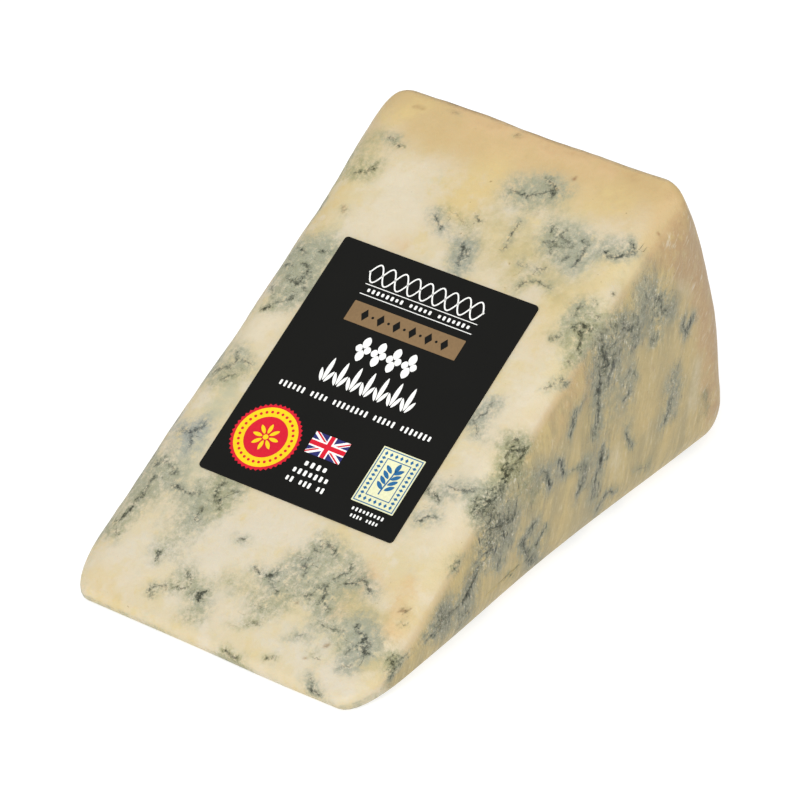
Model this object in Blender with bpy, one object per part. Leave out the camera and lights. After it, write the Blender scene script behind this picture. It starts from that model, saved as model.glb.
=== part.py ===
"""A wedge of blue-veined cheese that lies on one of its two radial cuts, with a paper label on the other.

The wedge is a slice of a wheel. X runs from its thin tip to its rind, Y along the wheel's axis, Z up.
The origin is at the middle of the wedge's footprint, on the surface that it lies on.
"""

import math

import bmesh
import bpy
import numpy as np
from mathutils import Matrix, Vector

# Driving dimensions, in metres and radians
WHEEL_RADIUS = 0.1000
SLICE_ANGLE = math.radians(29.9)
THICKNESS = 0.0589
RIM_RADIUS = 0.0065
TIP_RADIUS = 0.0015
LOWER_RIND_RADIUS = 0.0048
UPPER_RIND_RADIUS = 0.0010

LABEL_WIDTH = 0.0353
LABEL_LENGTH = 0.0432
LABEL_CORNER_RADIUS = 0.0010
LABEL_THICKNESS = 0.0002
LABEL_GAP = 0.0003
LABEL_UP_SLOPE = 0.0511
LABEL_ACROSS = 0.0007
LABEL_TURN = math.radians(0.24)

CUT_STEPS = 26
STRAIGHT_STEPS = 7
RIM_STEPS = 5
END_STEPS = 9
INNERMOST_SCALE = 0.10

# Slow shape of the slice: both flat ends bow in along their length and the tip bows out
SIDE_BOW_DEPTH = {-1: 0.00130, 1: 0.00100}
SIDE_BOW_MIDDLE = 0.054
SIDE_BOW_REACH = 0.028
TIP_BOW_DEPTH = 0.0004
TIP_BOW_MIDDLE = -0.012
TIP_BOW_REACH = 0.010
TIP_BOW_LENGTH = 0.012

# Shallow dents: centre from the wheel's axis, reach and depth
DENTS = (
    ((0.087, -0.004, 0.0495), 0.022, 0.0003),
    ((0.098, -0.027, 0.0120), 0.012, 0.0002),
)

# Unevenness of the hand-cut surface: wave length, heading, tilt and phase of each crossing wave
WAVE_HEIGHT = 0.00035
WAVES = (
    (0.043, 0.30, 0.20, 0.4),
    (0.031, 1.70, 0.60, 2.1),
    (0.026, 2.60, -0.40, 4.0),
    (0.019, 0.90, 1.00, 1.2),
    (0.015, 2.20, 0.10, 5.3),
)
BASE_FADE = (0.0010, 0.0080)
LABEL_FADE = (0.0020, 0.0090)

# Crumbled veins on the flat side at -Y: the two ends as (x, z) from the wheel's axis, width and depth
SIDE_FURROWS = (
    ((0.0645, 0.0375), (0.0600, 0.0210), 0.0026, 0.0009),
    ((0.0720, 0.0400), (0.0690, 0.0300), 0.0018, 0.0005),
    ((0.0780, 0.0400), (0.0750, 0.0310), 0.0018, 0.0005),
    ((0.0380, 0.0220), (0.0300, 0.0120), 0.0032, 0.0008),
    ((0.0305, 0.0130), (0.0245, 0.0080), 0.0026, 0.0006),
    ((0.0500, 0.0200), (0.0460, 0.0150), 0.0020, 0.0004),
)

CHEESE_COLOUR = (0.72, 0.60, 0.37, 1.0)
LABEL_COLOUR = (0.012, 0.012, 0.011, 1.0)


def remove_all_objects():
    for thing in list(bpy.data.objects):
        bpy.data.objects.remove(thing, do_unlink=True)


def make_material(name, colour, roughness):
    """A plain surface of one colour."""
    material = bpy.data.materials.new(name)
    material.use_nodes = True
    shader = material.node_tree.nodes["Principled BSDF"]
    shader.inputs["Base Color"].default_value = colour
    shader.inputs["Roughness"].default_value = roughness
    shader.inputs["Metallic"].default_value = 0.0
    return material


def arc(centre, radius, start, end, count):
    """Points along an arc, both ends included."""
    angles = [start + (end - start) * step / (count - 1) for step in range(count)]
    return [(centre[0] + radius * math.cos(a), centre[1] + radius * math.sin(a)) for a in angles]


def corner_centre(radius, side):
    """Centre of a rounding between a radial cut and the rind; side is 0 for the lower cut, 1 for the upper."""
    along = math.sqrt((WHEEL_RADIUS - radius) ** 2 - radius**2)
    angle = math.atan2(radius, along)
    reach = math.hypot(along, radius)
    turned = angle if side == 0 else SLICE_ANGLE - angle
    return (reach * math.cos(turned), reach * math.sin(turned)), turned


def line(start, end, count):
    """Points evenly spaced between two ends, which it leaves out."""
    shares = [step / count for step in range(1, count)]
    return [(start[0] + (end[0] - start[0]) * s, start[1] + (end[1] - start[1]) * s) for s in shares]


def wedge_outline():
    """The slice seen along the wheel's axis, from its tip along the lower cut, up the rind and back."""
    half = SLICE_ANGLE / 2
    tip_reach = TIP_RADIUS / math.sin(half)
    tip = (tip_reach * math.cos(half), tip_reach * math.sin(half))
    lower, lower_angle = corner_centre(LOWER_RIND_RADIUS, 0)
    upper, upper_angle = corner_centre(UPPER_RIND_RADIUS, 1)
    tip_arc = arc(tip, TIP_RADIUS, math.pi / 2 + SLICE_ANGLE, 3 * math.pi / 2, 7)
    lower_arc = arc(lower, LOWER_RIND_RADIUS, -math.pi / 2, lower_angle, 7)
    rind_arc = arc((0.0, 0.0), WHEEL_RADIUS, lower_angle, upper_angle, 16)[1:-1]
    upper_arc = arc(upper, UPPER_RIND_RADIUS, upper_angle, SLICE_ANGLE + math.pi / 2, 6)
    lower_cut = line(tip_arc[-1], lower_arc[0], CUT_STEPS)
    upper_cut = line(upper_arc[-1], tip_arc[0], CUT_STEPS)
    return tip_arc + lower_cut + lower_arc + rind_arc + upper_arc + upper_cut


def rounded_rectangle(length, width, radius):
    """A flat outline with four round corners, its length along X."""
    outline = []
    for turn, (side_x, side_y) in enumerate(((1, 1), (-1, 1), (-1, -1), (1, -1))):
        centre = (side_x * (length / 2 - radius), side_y * (width / 2 - radius))
        start = turn * math.pi / 2
        outline += arc(centre, radius, start, start + math.pi / 2, 6)
    return outline


def make_outline(name, outline, thickness, fill_mode):
    """A closed 2D curve of the outline, extruded to the thickness."""
    curve = bpy.data.curves.new(name, "CURVE")
    curve.dimensions = "2D"
    curve.fill_mode = fill_mode
    curve.extrude = thickness / 2
    spline = curve.splines.new("POLY")
    spline.points.add(len(outline) - 1)
    for point, (x, y) in zip(spline.points, outline):
        point.co = (x, y, 0.0, 1.0)
    spline.use_cyclic_u = True
    return bpy.data.objects.new(name, curve)


def evaluated_mesh(thing):
    """The mesh that an object shows with its modifiers."""
    bpy.context.view_layer.update()
    graph = bpy.context.evaluated_depsgraph_get()
    return bpy.data.meshes.new_from_object(thing.evaluated_get(graph))


def make_middle(collection, width):
    """The band around the middle of the slice, without its ends, standing in the XZ plane."""
    curve = make_outline("middle", wedge_outline(), width, "NONE")
    collection.objects.link(curve)
    mesh = evaluated_mesh(curve)
    bpy.data.objects.remove(curve)
    mesh.transform(Matrix.Rotation(math.pi / 2, 4, "X"))
    return mesh


def incentre():
    """The point of the sector that is equally far from both cuts and the rind, and that distance."""
    half_sine = math.sin(SLICE_ANGLE / 2)
    reach = WHEEL_RADIUS / (1 + half_sine)
    inradius = reach * half_sine
    return Vector((reach * math.cos(SLICE_ANGLE / 2), 0.0, inradius)), inradius


def stations(band_width):
    """Distance from the middle and scale of each section, from the band out to the flat end."""
    straight_end = THICKNESS / 2 - RIM_RADIUS
    inradius = incentre()[1]
    places = [(band_width * (step + 0.5), 1.0) for step in range(1, STRAIGHT_STEPS)]
    for step in range(1, RIM_STEPS + 1):
        turn = math.pi / 2 * step / RIM_STEPS
        scale = 1 - RIM_RADIUS * (1 - math.cos(turn)) / inradius
        places.append((straight_end + RIM_RADIUS * math.sin(turn), scale))
    end_scale = 1 - RIM_RADIUS / inradius
    for step in range(1, END_STEPS + 1):
        scale = end_scale + (INNERMOST_SCALE - end_scale) * step / END_STEPS
        places.append((THICKNESS / 2, scale))
    return places


def draw_out(body, side, band_width):
    """Extrudes one edge of the band from station to station, scaling it about the incentre, and closes it."""
    centre = incentre()[0]
    ring = [edge for edge in body.edges if edge.is_boundary and edge.verts[0].co.y * side > 0]
    scale_before = 1.0
    for distance, scale in stations(band_width):
        grown = bmesh.ops.extrude_edge_only(body, edges=ring)["geom"]
        ring = [item for item in grown if isinstance(item, bmesh.types.BMEdge)]
        for item in grown:
            if isinstance(item, bmesh.types.BMVert):
                item.co = centre + (item.co - centre) * scale / scale_before
                item.co.y = side * distance
        ring = [edge for edge in ring if edge.is_boundary]
        scale_before = scale
    cap = bmesh.ops.edgeloop_fill(body, edges=ring)["faces"]
    bmesh.ops.poke(body, faces=cap)


def fade(value, limits):
    """Rises smoothly from 0 at the first limit to 1 at the second."""
    share = np.clip((value - limits[0]) / (limits[1] - limits[0]), 0.0, 1.0)
    return share * share * (3 - 2 * share)


def slope_coordinates(points):
    """Distance up the labelled cut from the wheel's axis, and height above that cut."""
    along = points[:, 0] * math.cos(SLICE_ANGLE) + points[:, 2] * math.sin(SLICE_ANGLE)
    above = points[:, 2] * math.cos(SLICE_ANGLE) - points[:, 0] * math.sin(SLICE_ANGLE)
    return along, above


def looseness(points):
    """1 where the surface may wander, 0 on the base and under the label."""
    along, above = slope_coordinates(points)
    past_end = np.abs(along - LABEL_UP_SLOPE) - LABEL_LENGTH / 2
    past_side = np.abs(points[:, 1] - LABEL_ACROSS) - LABEL_WIDTH / 2
    outside = np.hypot(np.maximum(past_end, 0.0), np.maximum(past_side, 0.0))
    label_fade = np.maximum(fade(outside, LABEL_FADE), fade(-above, LABEL_FADE))
    return label_fade * fade(points[:, 2], BASE_FADE)


def bow(points):
    """The points with both flat ends bowed in and the tip bowed out, which keeps the cuts flat."""
    bowed = points.copy()
    along = np.exp(-(((points[:, 0] - SIDE_BOW_MIDDLE) / SIDE_BOW_REACH) ** 2))
    for side, depth in SIDE_BOW_DEPTH.items():
        share = np.maximum(side * points[:, 1] / (THICKNESS / 2), 0.0)
        bowed[:, 1] -= side * depth * along * share**2
    across = np.exp(-(((points[:, 1] - TIP_BOW_MIDDLE) / TIP_BOW_REACH) ** 2))
    bowed[:, 0] -= TIP_BOW_DEPTH * across * np.exp(-points[:, 0] / TIP_BOW_LENGTH)
    return bowed


def dent_depth(points):
    """Depth of the shallow dents."""
    depth = np.zeros(len(points))
    for centre, reach, deepest in DENTS:
        distance = np.linalg.norm(points - np.array(centre), axis=1)
        depth += deepest * np.exp(-((distance / reach) ** 2))
    return depth


def unevenness(points):
    """Height of the hand-cut surface: crossing waves, summed."""
    height = np.zeros(len(points))
    for length, heading, tilt, phase in WAVES:
        direction = np.array((
            math.cos(tilt) * math.cos(heading),
            math.cos(tilt) * math.sin(heading),
            math.sin(tilt),
        ))
        height += np.sin(points @ direction * (2 * math.pi / length) + phase)
    return height * WAVE_HEIGHT / len(WAVES)


def furrow_depth(points):
    """Depth of the crumbled veins on the flat side at -Y, round in section."""
    depth = np.zeros(len(points))
    near_side = fade(-points[:, 1], (THICKNESS / 2 - RIM_RADIUS, THICKNESS / 2 - RIM_RADIUS / 4))
    flat = points[:, [0, 2]]
    for start, end, width, deepest in SIDE_FURROWS:
        start = np.array(start)
        run = np.array(end) - start
        share = np.clip((flat - start) @ run / (run @ run), 0.0, 1.0)
        distance = np.linalg.norm(flat - start - share[:, None] * run, axis=1)
        depth = np.maximum(depth, deepest * np.exp(-((distance / width) ** 2)) * near_side)
    return depth


def roughen(mesh):
    """Gives the smooth slice its slow shape, its dents and furrows, and its unevenness."""
    points = np.empty(len(mesh.vertices) * 3)
    mesh.vertices.foreach_get("co", points)
    points = points.reshape(-1, 3)
    normals = np.empty(len(mesh.vertices) * 3)
    mesh.vertex_normals.foreach_get("vector", normals)
    normals = normals.reshape(-1, 3)

    height = unevenness(points) - furrow_depth(points) - dent_depth(points)
    moved = bow(points) + normals * (looseness(points) * height)[:, None]
    mesh.vertices.foreach_set("co", moved.ravel())
    mesh.update()
    return moved


def make_cheese(collection):
    """The whole slice as one body: rounded rims, an uneven cut surface and a flat base."""
    band_width = (THICKNESS - 2 * RIM_RADIUS) / (2 * STRAIGHT_STEPS - 1)
    body = bmesh.new()
    body.from_mesh(make_middle(collection, band_width))
    bmesh.ops.remove_doubles(body, verts=body.verts, dist=0.00001)
    for side in (-1, 1):
        draw_out(body, side, band_width)
    bmesh.ops.recalc_face_normals(body, faces=body.faces)
    mesh = bpy.data.meshes.new("cheese")
    body.to_mesh(mesh)
    body.free()

    points = roughen(mesh)
    mesh.shade_smooth()
    mesh.set_sharp_from_angle(angle=math.radians(40))
    mesh.materials.append(make_material("blue_cheese", CHEESE_COLOUR, 0.5))
    cheese = bpy.data.objects.new("cheese", mesh)
    collection.objects.link(cheese)
    return cheese, points


def make_label(collection):
    """A thin rounded rectangle that lies just above the upper cut."""
    outline = rounded_rectangle(LABEL_LENGTH, LABEL_WIDTH, LABEL_CORNER_RADIUS)
    label = make_outline("label", outline, LABEL_THICKNESS, "BOTH")
    height = LABEL_GAP + LABEL_THICKNESS / 2
    slope = Matrix.Rotation(-SLICE_ANGLE, 4, "Y")
    place = Matrix.Translation((LABEL_UP_SLOPE, LABEL_ACROSS, height))
    label.matrix_local = slope @ place @ Matrix.Rotation(LABEL_TURN, 4, "Z")
    label.data.materials.append(make_material("label_paper", LABEL_COLOUR, 0.4))
    collection.objects.link(label)
    return label


def build():
    remove_all_objects()
    collection = bpy.data.collections.new("cheese_wedge")
    bpy.context.scene.collection.children.link(collection)
    cheese, points = make_cheese(collection)
    label = make_label(collection)

    wheel_axis = bpy.data.objects.new("wheel_axis", None)
    wheel_axis.location.x = -(points[:, 0].min() + points[:, 0].max()) / 2
    wheel_axis.location.y = -(points[:, 1].min() + points[:, 1].max()) / 2
    collection.objects.link(wheel_axis)
    for piece in (cheese, label):
        piece.parent = wheel_axis
    bpy.context.view_layer.update()


build()
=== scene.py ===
import math
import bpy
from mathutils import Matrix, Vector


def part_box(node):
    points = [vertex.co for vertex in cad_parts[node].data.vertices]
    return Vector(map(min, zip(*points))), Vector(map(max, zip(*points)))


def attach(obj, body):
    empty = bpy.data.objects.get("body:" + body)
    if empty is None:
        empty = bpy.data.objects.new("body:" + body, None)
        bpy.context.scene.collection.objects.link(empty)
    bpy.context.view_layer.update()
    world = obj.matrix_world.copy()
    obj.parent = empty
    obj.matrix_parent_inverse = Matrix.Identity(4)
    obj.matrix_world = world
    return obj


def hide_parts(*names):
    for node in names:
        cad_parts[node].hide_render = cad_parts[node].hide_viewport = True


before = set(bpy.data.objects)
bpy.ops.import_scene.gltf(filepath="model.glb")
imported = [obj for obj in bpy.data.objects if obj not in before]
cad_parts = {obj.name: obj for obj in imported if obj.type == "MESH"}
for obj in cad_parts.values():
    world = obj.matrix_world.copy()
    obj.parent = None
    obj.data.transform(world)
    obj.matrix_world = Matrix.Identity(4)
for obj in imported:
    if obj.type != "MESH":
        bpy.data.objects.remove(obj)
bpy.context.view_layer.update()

from types import SimpleNamespace

import bpy
import numpy as np
from mathutils import Euler, Quaternion, Vector

scene = bpy.context.scene
scene.view_settings.view_transform = "Standard"


# The camera: a long lens about 0.7 m away, above the thin tip of the slice and a little to its near flat
# side.
CAMERA_AIM = Vector((0.00235, 0.00205, 0.01749))
CAMERA_DISTANCE = 0.72577
CAMERA_AZIMUTH = math.radians(-54.106)
CAMERA_ELEVATION = math.radians(32.519)
CAMERA_ROLL = math.radians(0.064)


def placed(name, data):
    """A new object in the scene that shows this data."""
    thing = bpy.data.objects.new(name, data)
    scene.collection.objects.link(thing)
    return thing


camera = placed("camera", bpy.data.cameras.new("camera"))
camera.data.sensor_width = 36.0
camera.data.lens = 217.3
camera.rotation_mode = "QUATERNION"
heading = Euler((math.pi / 2 - CAMERA_ELEVATION, 0.0, CAMERA_AZIMUTH)).to_quaternion()
camera.rotation_quaternion = heading @ Quaternion((0.0, 0.0, 1.0), CAMERA_ROLL)
camera.location = CAMERA_AIM + heading @ Vector((0.0, 0.0, CAMERA_DISTANCE))
scene.camera = camera


# The light: a pale room and one large soft lamp, high on the left, which leaves the near flat side darker
# than the labelled cut.
ROOM_BRIGHTNESS = 0.68
LAMP_FROM = Vector((-0.62, -0.30, 0.74))
LAMP_DISTANCE = 0.9
LAMP_SIZE = 0.55
LAMP_POWER = 5.6

room = bpy.data.worlds.new("room")
room.use_nodes = True
room.node_tree.nodes["Background"].inputs["Color"].default_value = (1.0, 1.0, 1.0, 1.0)
room.node_tree.nodes["Background"].inputs["Strength"].default_value = ROOM_BRIGHTNESS
scene.world = room

lamp = placed("lamp", bpy.data.lights.new("lamp", "AREA"))
lamp.data.energy = LAMP_POWER
lamp.data.size = LAMP_SIZE
lamp.location = LAMP_FROM.normalized() * LAMP_DISTANCE
lamp.rotation_mode = "QUATERNION"
lamp.rotation_quaternion = LAMP_FROM.to_track_quat("Z", "Y")


# The floor: a white light table, matt, with a faint unevenness in its coat. Its own glow keeps the slice's
# shadow faint.
FLOOR_RADIUS = 3.0
FLOOR_CORNERS = 96
FLOOR_DROP = 0.00002
FLOOR_COLOUR = (0.40, 0.40, 0.395, 1.0)
FLOOR_GLOW = 0.70


class Link:
    """One socket in a material. Arithmetic on it adds Math nodes, and make() adds any other node."""

    def __init__(self, tree, socket=None):
        self.tree = tree
        self.socket = socket

    def make(self, kind, settings=None, values=None, output=0):
        """A node of this type: its settings first, then the values or links of its sockets."""
        node = self.tree.nodes.new("ShaderNode" + kind)
        for name, value in (settings or {}).items():
            setattr(node, name, value)
        for name, value in (values or {}).items():
            if isinstance(value, Link):
                self.tree.links.new(value.socket, node.inputs[name])
            else:
                node.inputs[name].default_value = value
        return Link(self.tree, node.outputs[output]) if node.outputs else None

    def math(self, operation, first, second=0.0):
        return self.make("Math", {"operation": operation}, {0: first, 1: second})

    def __add__(self, other):
        return self.math("ADD", self, other)

    def __sub__(self, other):
        return self.math("SUBTRACT", self, other)

    def __rsub__(self, other):
        return self.math("SUBTRACT", other, self)

    def __mul__(self, other):
        return self.math("MULTIPLY", self, other)

    def __abs__(self):
        return self.math("ABSOLUTE", self)

    __radd__ = __add__
    __rmul__ = __mul__

    def most(self, other):
        """The larger of two values."""
        return self.math("MAXIMUM", self, other)

    def step(self, low, high):
        """0 at the low value and 1 at the high one, smooth between; it falls where low is the larger."""
        values = {"Value": self, "From Min": low, "From Max": high}
        return self.make("MapRange", {"interpolation_type": "SMOOTHSTEP"}, values)

    def between(self, first, second):
        """The first colour where this is 0, the second where it is 1."""
        return self.make("Mix", {"data_type": "RGBA"}, {0: self, 6: first, 7: second}, output=2)

    def noise(self, scale, detail=2.0, roughness=0.5):
        """Cloudy noise about 0.5, read at this place."""
        values = {"Vector": self, "Scale": scale, "Detail": detail, "Roughness": roughness}
        return self.make("TexNoise", None, values)


def new_material(name):
    """A material with its shader removed, as a Link that nodes are added to."""
    material = bpy.data.materials.new(name)
    material.use_nodes = True
    material.node_tree.nodes.clear()
    return material, Link(material.node_tree)


def in_millimetres(paint):
    """Places on the object, in millimetres."""
    place = paint.make("TexCoord", output="Object")
    return paint.make("VectorMath", {"operation": "SCALE"}, {"Vector": place, "Scale": 1000.0})


def finish_material(paint, colour, roughness, height, **constants):
    """One glossy and diffuse shader; the height is in millimetres and gives the bump."""
    bump = paint.make("Bump", None, {"Strength": 1.0, "Distance": 0.001, "Height": height})
    values = {"Base Color": colour, "Roughness": roughness, "Normal": bump}
    values.update({name.replace("_", " "): value for name, value in constants.items()})
    shader = paint.make("BsdfPrincipled", None, values)
    paint.make("OutputMaterial", None, {"Surface": shader})


def floor_material():
    """Matt white glass with a faint grain, lit from below."""
    material, paint = new_material("white_table")
    grain = in_millimetres(paint).noise(0.4, 3.0)
    finish_material(paint, FLOOR_COLOUR, 0.75 + grain * 0.1, grain * 0.02,
                    Emission_Color=(1.0, 1.0, 1.0, 1.0), Emission_Strength=FLOOR_GLOW)
    return material


def disc(radius, count, height):
    """Points at equal angles on a level circle."""
    turn = np.linspace(0.0, 2 * math.pi, count, endpoint=False)
    return np.stack([radius * np.cos(turn), radius * np.sin(turn), np.full(count, height)], axis=1)


floor_mesh = bpy.data.meshes.new("floor")
floor_points = disc(FLOOR_RADIUS, FLOOR_CORNERS, -FLOOR_DROP)
floor_mesh.from_pydata(floor_points.tolist(), [], [list(range(FLOOR_CORNERS))])
floor_mesh.materials.append(floor_material())
placed("floor", floor_mesh)


# The cheese: a slice cut by wire from a round wheel of blue cheese, lying on one of its two cuts. Its corners
# are rubbed round, its flat end at -Y crumbles where the veins come out, and a thin dry rind covers its round
# side.
WHEEL_RADIUS = 0.1000
SLICE_ANGLE = math.radians(29.9)
THICKNESS = 0.0589
RIM_RADIUS = 0.0065
TIP_RADIUS = 0.0015
LOWER_RIND_RADIUS = 0.0048
UPPER_RIND_RADIUS = 0.0010
LABEL_WIDTH = 0.0353
LABEL_LENGTH = 0.0432
LABEL_UP_SLOPE = 0.0511
LABEL_ACROSS = 0.0007
LABEL_HEIGHT = 0.0004

CUT_STEPS = 184
RIND_STEPS = 84
STRAIGHT_STEPS = 88
RIM_STEPS = 14
TIP_SAMPLES = 200
LOWER_RIND_SAMPLES = 60
RIND_SAMPLES = 300
UPPER_RIND_SAMPLES = 40

SIDE_BOW_DEPTH = {-1: 0.00130, 1: 0.00100}
SIDE_BOW_MIDDLE = 0.054
SIDE_BOW_REACH = 0.028
TIP_BOW_DEPTH = 0.0004
TIP_BOW_MIDDLE = -0.012
TIP_BOW_REACH = 0.010
TIP_BOW_LENGTH = 0.012
DENTS = (((0.087, -0.004, 0.0495), 0.022, 0.0003), ((0.098, -0.027, 0.0120), 0.012, 0.0002))
WAVE_HEIGHT = 0.00035
WAVES = (
    (0.043, 0.30, 0.20, 0.4),
    (0.031, 1.70, 0.60, 2.1),
    (0.026, 2.60, -0.40, 4.0),
    (0.019, 0.90, 1.00, 1.2),
    (0.015, 2.20, 0.10, 5.3),
)
LUMPS = ((0.00010, 0.0042, 32), (0.00004, 0.0016, 33))
CRUMB_SIZE = 0.0016
CRUMB_DEPTH = 0.00012
SIDE_CRUMB_DEPTH = 0.00034
LATTICE = 32
BASE_FADE = (0.0010, 0.0080)
LABEL_FADE = (0.0020, 0.0090)
SIDE_FURROWS = (
    ((0.0645, 0.0375), (0.0600, 0.0210), 0.0026, 0.0009),
    ((0.0720, 0.0400), (0.0690, 0.0300), 0.0018, 0.0005),
    ((0.0780, 0.0400), (0.0750, 0.0310), 0.0018, 0.0005),
    ((0.0380, 0.0220), (0.0300, 0.0120), 0.0032, 0.0008),
    ((0.0305, 0.0130), (0.0245, 0.0080), 0.0026, 0.0006),
    ((0.0500, 0.0200), (0.0460, 0.0150), 0.0020, 0.0004),
)

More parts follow.
